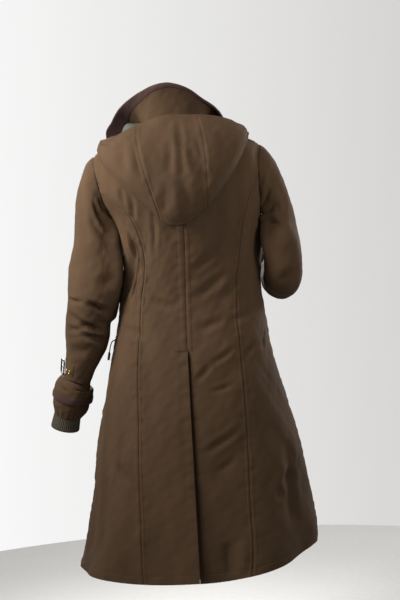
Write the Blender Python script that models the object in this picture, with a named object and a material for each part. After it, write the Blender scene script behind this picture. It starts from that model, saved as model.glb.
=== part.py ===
"""Long hooded riding coat in the pose of a wearer: an open, hollow garment of cut and sewn panels.

Metres, +Z up. The coat faces -Y, so the wearer's left is +X. The origin is the middle of the neck
opening, where the shoulders and neck of a wearer carry the coat.

Body panels lie on one surface. An angle says how far round it a point is (0 at centre back, +90 at the
left side, 180 at centre front), and a row number says how high (0 at the hem, 14 at the neck seam).
"""

import math

import bmesh
import bpy
import numpy as np
from mathutils import Matrix, Vector

# Driving sizes

CLOTH = 0.0018
FACING = 0.0015
SEAM_GAP = 0.0003
LAYER_GAP = 0.0008
SQUARENESS = 0.9

HEM, ARMPIT, SHOULDER, NECK = 0, 9, 12, 14
NECK_EDGE_ROW = 13.985
ARMHOLE_ANGLE, ARMHOLE_HALF_ANGLE, ARMHOLE_POINTS = 93.0, 27.0, 16
SLEEVE_SETBACK = 0.985

# How finely the pieces are divided
SKIRT_ROWS, YOKE_ROWS, BACK_STRIPS, SIDE_STRIPS, FRONT_STRIPS = 19, 5, 7, 6, 9
UNDERLAP_ROWS, UNDERLAP_STRIPS, FLY_ROWS, FLY_STRIPS = 12, 4, 25, 3
SLEEVE_HEAD_RINGS, STORM_RINGS, RIB_RINGS = 6, 6, 3
COLLAR_POINTS, COLLAR_ROWS, HOOD_UNDER_ROWS, HOOD_FOOT_ROWS, HOOD_OVER_ROWS = 29, 6, 8, 3, 7
HOOD_SIDE_STRIPS, HOOD_MIDDLE_STRIPS = 11, 4
EYELET_SEGMENTS, EYELET_SIDES, CORD_POINTS, CORD_END_SIDES = 10, 5, 14, 12

# Body sections from hem to neck: heights at the four quarters, then the reach from the middle.
SECTION_COLUMNS = ("z_left", "z_right", "z_back", "z_front", "left", "right", "back", "front")
SECTIONS = np.array([
    (-1.104, -1.068, -1.111, -1.095, 0.309, 0.306, 0.262, 0.245),
    (-1.055, -1.030, -1.060, -1.050, 0.292, 0.309, 0.248, 0.232),
    (-0.940, -0.940, -0.940, -0.940, 0.266, 0.294, 0.215, 0.205),
    (-0.820, -0.820, -0.820, -0.820, 0.247, 0.275, 0.190, 0.182),
    (-0.700, -0.700, -0.700, -0.700, 0.220, 0.246, 0.170, 0.165),
    (-0.580, -0.580, -0.580, -0.580, 0.193, 0.219, 0.148, 0.148),
    (-0.500, -0.500, -0.500, -0.500, 0.175, 0.206, 0.128, 0.134),
    (-0.430, -0.430, -0.430, -0.430, 0.163, 0.199, 0.118, 0.128),
    (-0.345, -0.345, -0.345, -0.345, 0.147, 0.202, 0.126, 0.132),
    (-0.235, -0.235, -0.235, -0.235, 0.166, 0.211, 0.146, 0.145),
    (-0.165, -0.165, -0.165, -0.172, 0.205, 0.220, 0.150, 0.142),
    (-0.105, -0.105, -0.105, -0.130, 0.218, 0.222, 0.140, 0.135),
    (-0.062, -0.055, -0.062, -0.100, 0.205, 0.208, 0.120, 0.122),
    (-0.028, -0.028, -0.030, -0.082, 0.145, 0.145, 0.098, 0.105),
    (0.012, 0.012, 0.000, -0.065, 0.080, 0.080, 0.068, 0.085),
])

# The princess seams of the back run up into the armholes: row, angle on the left, angle on the right.
PRINCESS_SEAM = np.array([
    (0.0, 24.0, 21.4), (2.0, 28.0, 24.5), (3.5, 31.5, 29.3), (5.2, 37.0, 36.0), (6.6, 37.5, 38.6),
    (8.0, 37.4, 43.4), (8.8, 39.7, 48.0), (9.5, 47.0, 53.0), (10.0, 56.0, 59.0), (10.5, 65.6, 65.6),
])
PRINCESS_TOP = 10.5

# The centre-back seam wanders a little to the right of the middle between waist and shoulders: row, angle.
CENTRE_SEAM = np.array([(0.0, 0.0), (5.2, -0.5), (6.9, -1.2), (8.3, -2.2), (14.0, -2.2)])

# Largest folds of the body: angle and height of each end, width, depth (out is positive),
# and 1 where the first end keeps its full depth at the hem.
FOLD_RADIUS, FOLD_TAPER, FOLD_CALM_ROWS = 0.19, 0.7, 1.5
BODY_FOLDS = np.array([
    (46, -0.280, 70, -0.440, 0.022, -0.012, 0),
    (62, -0.270, 84, -0.430, 0.020, 0.006, 0),
    (26, -0.200, 40, -0.360, 0.024, -0.006, 0),
    (-48, -0.240, -10, -0.400, 0.030, -0.006, 0),
    (-52, -0.550, -4, -0.680, 0.030, -0.008, 0),
    (-42, -0.740, -4, -0.890, 0.032, -0.010, 0),
    (-84, -0.520, -52, -0.640, 0.028, -0.007, 0),
    (-80, -0.820, -54, -1.000, 0.034, -0.010, 0),
    (-13, -1.190, -11, -0.920, 0.030, -0.014, 1),
    (-27, -1.170, -24, -0.900, 0.032, 0.010, 1),
    (-58, -1.130, -50, -0.860, 0.040, -0.014, 1),
    (16, -1.180, 18, -0.860, 0.036, -0.007, 1),
    (50, -1.150, 44, -0.840, 0.040, 0.011, 1),
    (72, -1.130, 66, -0.820, 0.040, -0.013, 1),
    (118, -1.130, 114, -0.780, 0.045, 0.012, 1),
    (146, -1.130, 142, -0.800, 0.045, -0.012, 1),
    (-118, -1.100, -114, -0.780, 0.045, 0.012, 1),
    (-146, -1.120, -142, -0.800, 0.045, -0.012, 1),
])

# The back vent: the left edge lies over the right one and stands away from it towards the hem.
VENT_TOP_ROW, VENT_SPREAD, VENT_LIFT, VENT_SINK, VENT_BOW = 5.19, 13.0, 0.010, 0.014, 1.5
UNDERLAP_TUCK, UNDERLAP_WIDTH, UNDERLAP_FOOT_ROW = 0.008, 0.045, 0.02

# Front fly and its buttons
FLY_LEFT, FLY_RIGHT, FLY_TOP_ROW, FLY_FOOT_ROW = 0.012, 0.050, 13.2, 0.35
BUTTON_RADIUS, BUTTON_HEIGHT, BUTTON_SIDES, BUTTON_ANGLE = 0.0095, 0.0035, 14, -176.0
BUTTON_ROWS = (12.6, 10.6, 8.7, 7.2, 5.8, 4.5)

# Collar: angle round the neck, out and up of its middle from the neck seam, then the place of its edge.
COLLAR_COLUMNS = ("angle", "mid_out", "mid_up", "edge_x", "edge_y", "edge_z")
COLLAR = np.array([
    (-168, 0.055, 0.006, -0.118, -0.142, -0.078),
    (-150, 0.045, 0.014, -0.136, -0.098, -0.032),
    (-120, 0.028, 0.016, -0.131, -0.045, 0.010),
    (-90, 0.015, 0.018, -0.114, 0.010, 0.034),
    (-60, 0.008, 0.030, -0.083, 0.052, 0.057),
    (-30, 0.008, 0.048, -0.042, 0.083, 0.086),
    (0, 0.007, 0.056, 0.003, 0.095, 0.100),
    (30, 0.008, 0.053, 0.045, 0.085, 0.097),
    (60, 0.009, 0.043, 0.085, 0.058, 0.081),
    (90, 0.020, 0.030, 0.126, 0.020, 0.057),
    (120, 0.038, 0.026, 0.157, -0.030, 0.024),
    (150, 0.058, 0.026, 0.175, -0.075, -0.018),
    (168, 0.066, 0.020, 0.150, -0.138, -0.068),
])
COLLAR_END = 168.0

# Share of the collar's height that the edge binding takes: angle, share.
BINDING = np.array([
    (-168, 0.16), (-90, 0.20), (-60, 0.18), (-30, 0.12), (0, 0.11), (30, 0.17), (60, 0.33), (90, 0.42),
    (168, 0.38),
])

# Hood hanging open on the back: angle, body row of its lowest fold, how full it is, and the place of its rim.
HOOD_COLUMNS = ("angle", "foot_row", "fullness", "rim_x", "rim_y", "rim_z")
HOOD = np.array([
    (-116, 13.35, 0.006, -0.098, -0.046, -0.001),
    (-100, 12.90, 0.008, -0.142, -0.022, -0.010),
    (-82, 12.50, 0.010, -0.166, 0.012, -0.026),
    (-62, 12.22, 0.014, -0.160, 0.045, -0.012),
    (-49, 11.75, 0.020, -0.140, 0.075, 0.002),
    (-40, 11.03, 0.028, -0.115, 0.098, 0.011),
    (-31, 10.33, 0.036, -0.088, 0.112, 0.015),
    (-23, 9.80, 0.042, -0.066, 0.118, 0.017),
    (-12, 9.20, 0.046, -0.035, 0.122, 0.018),
    (0, 8.90, 0.046, -0.003, 0.123, 0.019),
    (14, 9.18, 0.046, 0.035, 0.122, 0.014),
    (22, 9.65, 0.044, 0.060, 0.117, 0.009),
    (30, 10.12, 0.040, 0.083, 0.108, 0.002),
    (40, 10.78, 0.032, 0.112, 0.092, -0.009),
    (52, 11.60, 0.022, 0.140, 0.066, -0.021),
    (66, 12.20, 0.014, 0.160, 0.040, -0.030),
    (84, 12.48, 0.010, 0.170, 0.008, -0.030),
    (100, 12.85, 0.008, 0.148, -0.026, -0.016),
    (116, 13.35, 0.006, 0.101, -0.049, -0.003),
])
HOOD_END, HOOD_TOP_ROW, HOOD_CLEARANCE = 116.0, 13.80, 0.0045
HOOD_FOLD_LEAST, HOOD_FOLD_MORE = 0.0112, 0.0048
HOOD_LOW_AT, HOOD_HIGH_AT, HOOD_HIGH_SWELL = 0.20, 0.72, 1.5
HOOD_RIDGE, HOOD_RIDGE_ANGLE, HOOD_RIDGE_SPREAD = 0.007, -1.0, 7.0
HOOD_LINING, LINING_END = 0.0008, 72.0

# Seams of the hood's middle panel: -1 at the neck, 0 at the lowest fold and 1 at the rim, right and left angle.
HOOD_SEAMS = np.array([(-1.0, -20.0, 20.0), (0.0, -16.5, 12.5), (0.63, -19.0, 23.5), (1.0, -21.0, 31.0)])

# Slack of the hood that bunches up beside the collar on the left: height, then where and how far it spreads.
HOOD_SLACK, SLACK_ANGLE, SLACK_ANGLE_SPREAD, SLACK_AT, SLACK_SPREAD = 0.018, 62.0, 20.0, 0.20, 0.16

# Arm stations from sleeve head to wrist: x, y, z of the ring's middle, half width, half depth.
LEFT_ARM = np.array([
    (0.2150, 0.014, -0.274, 0.0530, 0.064),
    (0.2190, 0.022, -0.350, 0.0660, 0.066),
    (0.2270, 0.028, -0.422, 0.0675, 0.064),
    (0.2440, 0.025, -0.475, 0.0580, 0.058),
    (0.2540, 0.018, -0.533, 0.0540, 0.053),
    (0.2770, 0.004, -0.600, 0.0385, 0.043),
    (0.2880, -0.002, -0.629, 0.0350, 0.039),
    (0.2950, -0.005, -0.643, 0.0485, 0.046),
    (0.3045, -0.013, -0.678, 0.0500, 0.047),
    (0.3110, -0.019, -0.698, 0.0465, 0.043),
    (0.3195, -0.026, -0.722, 0.0340, 0.034),
    (0.3290, -0.034, -0.757, 0.0375, 0.034),
])
RIGHT_ARM = np.array([
    (-0.2540, 0.022, -0.274, 0.0430, 0.060),
    (-0.2565, 0.040, -0.318, 0.0475, 0.060),
    (-0.2565, 0.038, -0.360, 0.0490, 0.053),
    (-0.2550, 0.004, -0.396, 0.0490, 0.052),
    (-0.2525, -0.058, -0.402, 0.0480, 0.050),
    (-0.2440, -0.135, -0.388, 0.0385, 0.043),
    (-0.2405, -0.166, -0.381, 0.0350, 0.039),
    (-0.2390, -0.181, -0.378, 0.0475, 0.046),
    (-0.2355, -0.217, -0.369, 0.0490, 0.047),
    (-0.2335, -0.238, -0.364, 0.0460, 0.043),
    (-0.2310, -0.263, -0.358, 0.0340, 0.034),
    (-0.2275, -0.300, -0.349, 0.0375, 0.034),
])
HEM_STATION = 8.0
CAP_START, CAP_OUT, CAP_DOWN = -1.0, 0.93, -0.36
CAP_REACH_MEAN, CAP_REACH_SWING, CAP_HANG_MEAN, CAP_HANG_SWING = 0.030, 0.016, 0.056, 0.040
SLEEVE_SEAM_STEPS = 5
SLEEVE_STATIONS = np.array((0.0, 0.5, 1.0, 1.5, 2.0, 2.4, 2.8, 3.2, 3.7, 4.2, 4.75, 5.15, 5.55, 6.0, 6.5, 7.0,
                            7.45, HEM_STATION))

# Largest creases of the sleeves: angle and station of each end, width, depth.
SLEEVE_RADIUS, STATION_LENGTH = 0.055, 0.065
LEFT_CREASES = np.array([
    (40, 2.55, 175, 2.30, 0.020, -0.007, 0),
    (70, 3.15, 190, 2.75, 0.018, -0.008, 0),
    (120, 2.75, 220, 2.50, 0.018, 0.005, 0),
    (20, 1.10, 120, 0.50, 0.022, -0.004, 0),
])
RIGHT_CREASES = np.array([
    (60, 0.10, 150, -0.25, 0.020, -0.005, 0),
    (255, 2.45, 320, 2.45, 0.018, -0.005, 0),
    (40, 1.30, 130, 1.60, 0.022, -0.004, 0),
])

# Where each sleeve presses against the body it swells towards the back: angle and spread, reach along the
# arm, then height and station for the left (1) and right (-1) arm.
SWELL_ANGLE, SWELL_SPREAD, SWELL_REACH = 148.0, 15.0, 1.2
SWELL = {1: (0.019, 0.9), -1: (0.017, 0.7)}

# Cuffs: plum binding on the sleeve's hem, storm cuff inside it (station and half sizes), rib at the wrist.
STORM_CUFF = np.array([
    (7.30, 0.0410, 0.0405), (8.00, 0.0450, 0.0430), (8.60, 0.0462, 0.0435), (9.30, 0.0430, 0.0405),
    (10.0, 0.0345, 0.0345),
])
RIB_CUFF = np.array([(10.02, 0.0347, 0.0346), (10.50, 0.0360, 0.0344), (11.0, 0.0375, 0.0345)])

# Cuff strap with its buckle and eyelets
STRAP_STATIONS, STRAP_STEPS = slice(10, 13), 3
BUCKLE_ANGLE, BUCKLE_STAND, BUCKLE_TILT = -2.0, 0.0068, 20.0
BUCKLE_LONG, BUCKLE_WIDE, BUCKLE_WIRE = 0.037, 0.028, 0.0021
EYELET_ANGLES, EYELET_RADIUS, EYELET_WIRE = (36.0, 52.0), 0.0036, 0.0011

# Waist drawcord that comes out at the left side
CORD_ANGLE, CORD_ROW, CORD_RADIUS = 84.0, 5.55, 0.0014
CORD_ROUTE = ((0.0030, 0.0), (0.0070, -0.0010), (0.0110, -0.0050), (0.0140, -0.0120), (0.0162, -0.0200),
              (0.0180, -0.0290))
CORD_END_RADIUS, CORD_END_TIP, CORD_END_LENGTH = 0.0032, 0.0024, 0.021
CORD_EYELET_RADIUS, CORD_EYELET_WIRE = 0.0048, 0.0012

MATERIALS = {
    "coat_cloth": ((0.085, 0.058, 0.036), 0.85, 0.0),
    "plum_moleskin": ((0.060, 0.032, 0.030), 0.92, 0.0),
    "rib_knit": ((0.062, 0.050, 0.036), 0.95, 0.0),
    "sage_lining": ((0.102, 0.119, 0.090), 0.80, 0.0),
    "dark_metal": ((0.030, 0.030, 0.028), 0.45, 0.8),
    "brass": ((0.520, 0.370, 0.130), 0.35, 1.0),
    "black_cord": ((0.012, 0.012, 0.013), 0.70, 0.0),
}


# Curves and surfaces

def curve(keys, rows, at):
    """Smooth curve through table rows that stand at the given keys, read at one or more places."""
    keys, rows, at = np.asarray(keys, float), np.asarray(rows, float), np.asarray(at, float)
    index = np.clip(np.searchsorted(keys, at, side="right") - 1, 0, len(keys) - 2)
    slope = np.gradient(rows, keys, axis=0)
    span = keys[index + 1] - keys[index]
    t = ((at - keys[index]) / span)[..., None]
    span = span[..., None]
    return ((2 * t**3 - 3 * t**2 + 1) * rows[index] + (t**3 - 2 * t**2 + t) * span * slope[index]
            + (3 * t**2 - 2 * t**3) * rows[index + 1] + (t**3 - t**2) * span * slope[index + 1])


def unit(vectors):
    return vectors / np.linalg.norm(vectors, axis=-1, keepdims=True)


def crease_height(along, up, table, radius, step):
    """Height of all soft ridges and troughs in a table at places on a surface rolled out flat."""
    height = np.zeros(np.broadcast(along, up).shape)
    for angle_a, up_a, angle_b, up_b, width, depth, open_end in table:
        start = np.array((math.radians(angle_a) * radius, up_a * step))
        way = np.array((math.radians(angle_b) * radius, up_b * step)) - start
        across, rise = along - start[0], up - start[1]
        t = (across * way[0] + rise * way[1]) / (way @ way)
        taper = np.sin(np.pi * np.clip(t, 0, 1)) ** FOLD_TAPER
        if open_end:
            taper = np.cos(np.pi / 2 * np.clip(t, 0, 1))
        distance2 = (across - t * way[0]) ** 2 + (rise - t * way[1]) ** 2
        height = height + depth * np.exp(-distance2 / width**2) * taper
    return height


def section_point(angle, row):
    """Point of the smooth body, before folds."""
    size = dict(zip(SECTION_COLUMNS, np.moveaxis(curve(range(NECK + 1), SECTIONS, row), -1, 0)))
    sine, cosine = np.sin(np.radians(angle)), np.cos(np.radians(angle))
    is_left, is_back = sine >= 0, cosine >= 0
    x = np.where(is_left, size["left"], size["right"]) * np.sign(sine) * np.abs(sine) ** SQUARENESS
    y = np.where(is_back, size["back"], size["front"]) * np.sign(cosine) * np.abs(cosine) ** SQUARENESS
    z = (np.where(is_left, size["z_left"], size["z_right"]) * sine**2
         + np.where(is_back, size["z_back"], size["z_front"]) * cosine**2)
    return np.stack(np.broadcast_arrays(x, y, z), -1)


def section_normal(angle, row):
    turn, rise = 0.2, 0.002
    across = section_point(angle + turn, row) - section_point(angle - turn, row)
    up = section_point(angle, row + rise) - section_point(angle, row - rise)
    return unit(np.cross(up, across))


def centre_edge(row):
    return curve(CENTRE_SEAM[:, 0], CENTRE_SEAM[:, 1:], row)[..., 0]


def vent_height(angle, row, lap):
    """How far the two sides of the back vent stand out or in below its top."""
    opened = np.clip((VENT_TOP_ROW - row) / VENT_TOP_ROW, 0, 1)
    opened = opened**VENT_BOW * np.exp(-(((angle - centre_edge(row)) / VENT_SPREAD) ** 2))
    return np.where(lap > 0, VENT_LIFT, -VENT_SINK) * opened


def body_point(angle, row, out=0.0, lap=None):
    """Point of the coat's body, moved out of the cloth's face. lap picks the side of the back vent."""
    angle, row = np.broadcast_arrays(np.asarray(angle, float), np.asarray(row, float))
    lap = np.sign(angle - centre_edge(row)) if lap is None else lap
    base = section_point(angle, row)
    folds = crease_height(np.radians(angle) * FOLD_RADIUS, base[..., 2], BODY_FOLDS, FOLD_RADIUS, 1.0)
    calm = np.clip((ARMPIT - row) / FOLD_CALM_ROWS + 1, 0, 1)
    height = folds * calm + vent_height(angle, row, lap) + out
    return base + height[..., None] * section_normal(angle, row)


def degrees_for(length, angle, row):
    """Angle that a length takes up round the body at one place."""
    step = 0.5
    reach = np.linalg.norm(section_point(angle + step, row) - section_point(angle - step, row), axis=-1)
    return length * 2 * step / reach


def armhole_rows():
    turn = np.linspace(np.pi, 0, ARMHOLE_POINTS // 2 + 1)
    middle, half = (ARMPIT + SHOULDER) / 2, (SHOULDER - ARMPIT) / 2
    return middle + half * np.cos(turn)


def armhole_half_angle(row):
    middle, half = (ARMPIT + SHOULDER) / 2, (SHOULDER - ARMPIT) / 2
    return ARMHOLE_HALF_ANGLE * np.sqrt(np.clip(1 - ((row - middle) / half) ** 2, 0, 1))


def side_edge(row, towards_front):
    """Angle of the side seam, the armhole and the shoulder seam, from hem to neck."""
    way = 1 if towards_front else -1
    return ARMHOLE_ANGLE + way * armhole_half_angle(row)


def princess_edge(row, side):
    seam = curve(PRINCESS_SEAM[:, 0], PRINCESS_SEAM[:, 1:], row)
    return np.minimum(seam[..., 0 if side > 0 else 1], side_edge(row, False))


def arm_point(arm, side, angle, station, sizes=None):
    """Point on a ring of the arm. Angle 0 is the outer side, 90 the back and 180 the body's side."""
    stations = range(len(arm))
    place = curve(stations, arm, station)
    step = 0.02
    ahead = unit((curve(stations, arm, station + step) - curve(stations, arm, station - step))[..., :3])
    outward = np.array((side, 0.0, 0.0))
    outer = unit(outward - (ahead @ outward)[..., None] * ahead)
    back = side * np.cross(outer, ahead)
    half = place[..., 3:] if sizes is None else sizes
    turn = np.radians(angle)
    return (place[..., :3] + outer * (half[..., 0] * np.cos(turn))[..., None]
            + back * (half[..., 1] * np.sin(turn))[..., None])


def armhole_point(side, angle):
    """Point just inside the armhole's edge, where the sleeve is set in."""
    turn = np.radians(angle)
    row = (ARMPIT + SHOULDER) / 2 + SLEEVE_SETBACK * (SHOULDER - ARMPIT) / 2 * np.cos(turn)
    around = side * (ARMHOLE_ANGLE - SLEEVE_SETBACK * ARMHOLE_HALF_ANGLE * np.sin(turn))
    return body_point(around, row)


def sleeve_base(arm, side, angle, station):
    """Point of a smooth sleeve: its head up to station 0, then the arm's rings."""
    ring = arm_point(arm, side, angle, np.maximum(station, 0.0))
    t = np.clip(station - CAP_START, 0, 1)[..., None]
    swing = np.cos(np.radians(angle))[..., None]
    start = armhole_point(side, angle)
    end = arm_point(arm, side, angle, np.zeros_like(station))
    ahead = unit(arm[1, :3] - arm[0, :3])
    out = unit(np.array((side * CAP_OUT, 0.0, CAP_DOWN)))
    leave = start + out * (CAP_REACH_MEAN + CAP_REACH_SWING * swing)
    arrive = end - ahead * (CAP_HANG_MEAN + CAP_HANG_SWING * swing)
    head = ((1 - t) ** 3 * start + 3 * (1 - t) ** 2 * t * leave + 3 * (1 - t) * t**2 * arrive + t**3 * end)
    return np.where((station < 0)[..., None], head, ring)


def sleeve_point(arm, side, creases, angle, station, out=0.0):
    angle, station = np.broadcast_arrays(np.asarray(angle, float), np.asarray(station, float))
    turn, step = 0.5, 0.01
    low, high = np.maximum(station - step, CAP_START), np.minimum(station + step, len(arm) - 1.0)
    across = sleeve_base(arm, side, angle + turn, station) - sleeve_base(arm, side, angle - turn, station)
    down = sleeve_base(arm, side, angle, high) - sleeve_base(arm, side, angle, low)
    normal = side * unit(np.cross(down, across))
    around = np.radians(np.mod(angle, 360)) * SLEEVE_RADIUS
    folds = crease_height(around, station * STATION_LENGTH, creases, SLEEVE_RADIUS, STATION_LENGTH)
    height, middle = SWELL[side]
    swell = height * np.exp(-(((np.mod(angle, 360) - SWELL_ANGLE) / SWELL_SPREAD) ** 2))
    swell = swell * np.exp(-(((station - middle) / SWELL_REACH) ** 4))
    return sleeve_base(arm, side, angle, station) + (folds + swell + out)[..., None] * normal


def collar_point(angle, share):
    """Outer face of the collar: share 0 is the neck seam and 1 the edge."""
    angle, share = np.broadcast_arrays(np.asarray(angle, float), np.asarray(share, float))
    size = dict(zip(COLLAR_COLUMNS, np.moveaxis(curve(COLLAR[:, 0], COLLAR, angle), -1, 0)))
    seam = section_point(angle, np.full_like(angle, NECK))
    edge = np.stack((size["edge_x"], size["edge_y"], size["edge_z"]), -1)
    out = unit((edge - seam) * np.array((1.0, 1.0, 0.0)))
    middle = seam + out * size["mid_out"][..., None] + np.array((0.0, 0.0, 1.0)) * size["mid_up"][..., None]
    bend = 2 * middle - (seam + edge) / 2
    t = share[..., None]
    return (1 - t) ** 2 * seam + 2 * (1 - t) * t * bend + t**2 * edge


def grid_normals(grid):
    """Normals, pointing in, of a grid whose columns run round the neck and rows run up the outer face."""
    return unit(np.cross(np.gradient(grid, axis=1), np.gradient(grid, axis=0)))


# Solids

def new_material(name):
    colour, roughness, metallic = MATERIALS[name]
    material = bpy.data.materials.new(name)
    material.use_nodes = True
    shader = material.node_tree.nodes["Principled BSDF"]
    shader.inputs["Base Color"].default_value = (*colour, 1.0)
    shader.inputs["Roughness"].default_value = roughness
    shader.inputs["Metallic"].default_value = metallic
    return material


def finish(obj, material):
    obj.data.materials.append(bpy.data.materials.get(material) or new_material(material))
    if obj.name not in COAT.objects:
        for collection in list(obj.users_collection):
            collection.objects.unlink(obj)
        COAT.objects.link(obj)
    return obj


def wall(name, outer, inner, material, closed=False):
    """Closed sheet of cloth between two grids of points. A closed one joins its last column to its first."""
    rows, columns = outer.shape[:2]
    mesh = bmesh.new()
    faces = [[[mesh.verts.new(point) for point in line] for line in grid] for grid in (outer, inner)]
    around = columns if closed else columns - 1
    for grid in faces:
        for i in range(rows - 1):
            for j in range(around):
                k = (j + 1) % columns
                mesh.faces.new((grid[i][j], grid[i][k], grid[i + 1][k], grid[i + 1][j]))
    front, back = faces
    for i in (0, rows - 1):
        for j in range(around):
            k = (j + 1) % columns
            mesh.faces.new((front[i][j], front[i][k], back[i][k], back[i][j]))
    for j in () if closed else (0, columns - 1):
        for i in range(rows - 1):
            mesh.faces.new((front[i][j], front[i + 1][j], back[i + 1][j], back[i][j]))
    bmesh.ops.recalc_face_normals(mesh, faces=mesh.faces)
    data = bpy.data.meshes.new(name)
    mesh.to_mesh(data)
    mesh.free()
    data.shade_smooth()
    data.set_sharp_from_angle(angle=math.radians(50))
    return finish(bpy.data.objects.new(name, data), material)


def place(obj, point, normal, up=Vector((0, 0, 1))):
    """Stands an object on a point with its own Z along the normal and its Y as near up as can be."""
    normal = Vector(normal).normalized()
    across = up.cross(normal).normalized()
    turn = Matrix((across, normal.cross(across), normal)).transposed()
    obj.matrix_world = Matrix.LocRotScale(Vector(point), turn, None)


def body_panel(name, rows, left_edge, right_edge, strips, outside=0.0, lap=None):
    """Panel of the body between two edges, each an angle for every row, with half a seam's gap at both."""
    gap = degrees_for(SEAM_GAP / 2, left_edge, rows)
    share = np.linspace(0, 1, strips + 1)
    angle = (left_edge + gap)[:, None] * (1 - share) + (right_edge - gap)[:, None] * share
    row = rows[:, None] + 0 * angle
    inner = body_point(angle, row, outside - CLOTH, lap)
    return wall(name, body_point(angle, row, outside, lap), inner, "coat_cloth")


def make_body():
    skirt = np.linspace(HEM, ARMPIT, SKIRT_ROWS)
    yoke = np.linspace(SHOULDER, NECK_EDGE_ROW, YOKE_ROWS)
    rows = np.concatenate((skirt[:-1], armhole_rows(), yoke[1:]))
    side_rows = rows[rows <= PRINCESS_TOP + 1e-6]
    front = np.full_like(rows, 180.0)
    for side, label in ((1, "left"), (-1, "right")):
        seam = princess_edge(rows, side)
        under_arm = np.where(rows <= PRINCESS_TOP + 1e-6, seam, side_edge(rows, False))

        def spread(name, at, inner, outer, strips):
            edges = (inner, outer) if side > 0 else (-outer, -inner)
            body_panel(f"{name}_{label}", at, *edges, strips, lap=side)
        spread("back", rows, side * centre_edge(rows), under_arm, BACK_STRIPS)
        spread("side_back", side_rows, seam[:len(side_rows)], side_edge(side_rows, False), SIDE_STRIPS)
        spread("front", rows, side_edge(rows, True), front, FRONT_STRIPS)


def make_vent_underlap():
    """Strip sewn to the right edge of the vent, lying under the left back."""
    rows = np.linspace(UNDERLAP_FOOT_ROW, VENT_TOP_ROW, UNDERLAP_ROWS)
    left = centre_edge(rows) - degrees_for(UNDERLAP_TUCK, 0.0, rows)
    right = centre_edge(rows) + degrees_for(UNDERLAP_WIDTH, 0.0, rows)
    body_panel("vent_underlap", rows, left, right, UNDERLAP_STRIPS, outside=-CLOTH - LAYER_GAP, lap=-1)


def make_front_fly():
    rows = np.linspace(FLY_FOOT_ROW, FLY_TOP_ROW, FLY_ROWS)
    left = 180.0 - degrees_for(FLY_LEFT, 180.0, rows)
    right = 180.0 + degrees_for(FLY_RIGHT, 180.0, rows)
    body_panel("front_fly", rows, left, right, FLY_STRIPS, outside=CLOTH + LAYER_GAP)
    for number, row in enumerate(BUTTON_ROWS, 1):
        place_button(f"button_{number}", row)


def place_button(name, row):
    angle = np.array(BUTTON_ANGLE)
    height = np.array(float(row))
    stand = CLOTH + LAYER_GAP + 2 * SEAM_GAP + BUTTON_HEIGHT / 2
    bpy.ops.mesh.primitive_cylinder_add(vertices=BUTTON_SIDES, radius=BUTTON_RADIUS, depth=BUTTON_HEIGHT)
    button = bpy.context.object
    button.name = name
    place(button, body_point(angle, height, stand), section_normal(angle, height))
    finish(button, "dark_metal")


def make_sleeve(label, side, arm, creases):
    seam = SLEEVE_SEAM_STEPS
    step = 360.0 / ARMHOLE_POINTS
    stations = np.concatenate((np.linspace(CAP_START, 0, SLEEVE_HEAD_RINGS), SLEEVE_STATIONS[1:]))
    gap = math.degrees(SEAM_GAP / SLEEVE_RADIUS)
    for name, first, last in (("top", -seam, seam), ("under", seam, ARMHOLE_POINTS - seam)):
        angles = np.arange(first, last + 1) * step
        angles[0] += gap
        angles[-1] -= gap
        angle, station = np.meshgrid(angles, stations)
        wall(f"sleeve_{name}_{label}", sleeve_point(arm, side, creases, angle, station),
             sleeve_point(arm, side, creases, angle, station, -CLOTH), "coat_cloth")


def make_cuffs(label, side, arm, creases):
    angles = np.arange(ARMHOLE_POINTS) * 360.0 / ARMHOLE_POINTS
    angle, station = np.meshgrid(angles, SLEEVE_STATIONS[-2:])
    wall(f"cuff_binding_{label}", sleeve_point(arm, side, creases, angle, station, SEAM_GAP + FACING),
         sleeve_point(arm, side, creases, angle, station, SEAM_GAP), "plum_moleskin", closed=True)
    cuffs = (("storm_cuff", STORM_CUFF, "coat_cloth", STORM_RINGS),
             ("rib_cuff", RIB_CUFF, "rib_knit", RIB_RINGS))
    for name, table, material, rings in cuffs:
        angle, station = np.meshgrid(angles, np.linspace(table[0, 0], table[-1, 0], rings))
        sizes = curve(table[:, 0], table[:, 1:], station)
        wall(f"{name}_{label}", arm_point(arm, side, angle, station, sizes),
             arm_point(arm, side, angle, station, sizes - CLOTH), material, closed=True)


def make_cuff_strap(label, side, arm, creases):
    """Tab round the outer side of the sleeve, with a wire buckle and two eyelets."""
    stations = SLEEVE_STATIONS[STRAP_STATIONS]
    angles = np.arange(-STRAP_STEPS, STRAP_STEPS + 1) * 360.0 / ARMHOLE_POINTS
    angle, station = np.meshgrid(angles, stations)
    wall(f"cuff_strap_{label}", sleeve_point(arm, side, creases, angle, station, SEAM_GAP + CLOTH),
         sleeve_point(arm, side, creases, angle, station, SEAM_GAP), "coat_cloth")
    middle = stations.mean()
    along = Vector(arm[4, :3] - arm[6, :3]).normalized()

    def on_strap(angle, out):
        face = sleeve_point(arm, side, creases, np.array(angle), np.array(middle), SEAM_GAP + CLOTH)
        point = sleeve_point(arm, side, creases, np.array(angle), np.array(middle), SEAM_GAP + CLOTH + out)
        return Vector(point), Vector(point - face)

    point, normal = on_strap(BUCKLE_ANGLE, BUCKLE_STAND)
    normal.rotate(Matrix.Rotation(math.radians(side * BUCKLE_TILT), 3, along))
    frame = wire_frame(f"cuff_buckle_{label}", BUCKLE_WIDE, BUCKLE_LONG, BUCKLE_WIRE)
    place(frame, point, normal, along)
    finish(frame, "dark_metal")
    for number, at in enumerate(EYELET_ANGLES, 1):
        point, normal = on_strap(at, EYELET_WIRE + SEAM_GAP)
        add_ring(f"cuff_eyelet_{number}_{label}", EYELET_RADIUS, EYELET_WIRE, point, normal)


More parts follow.
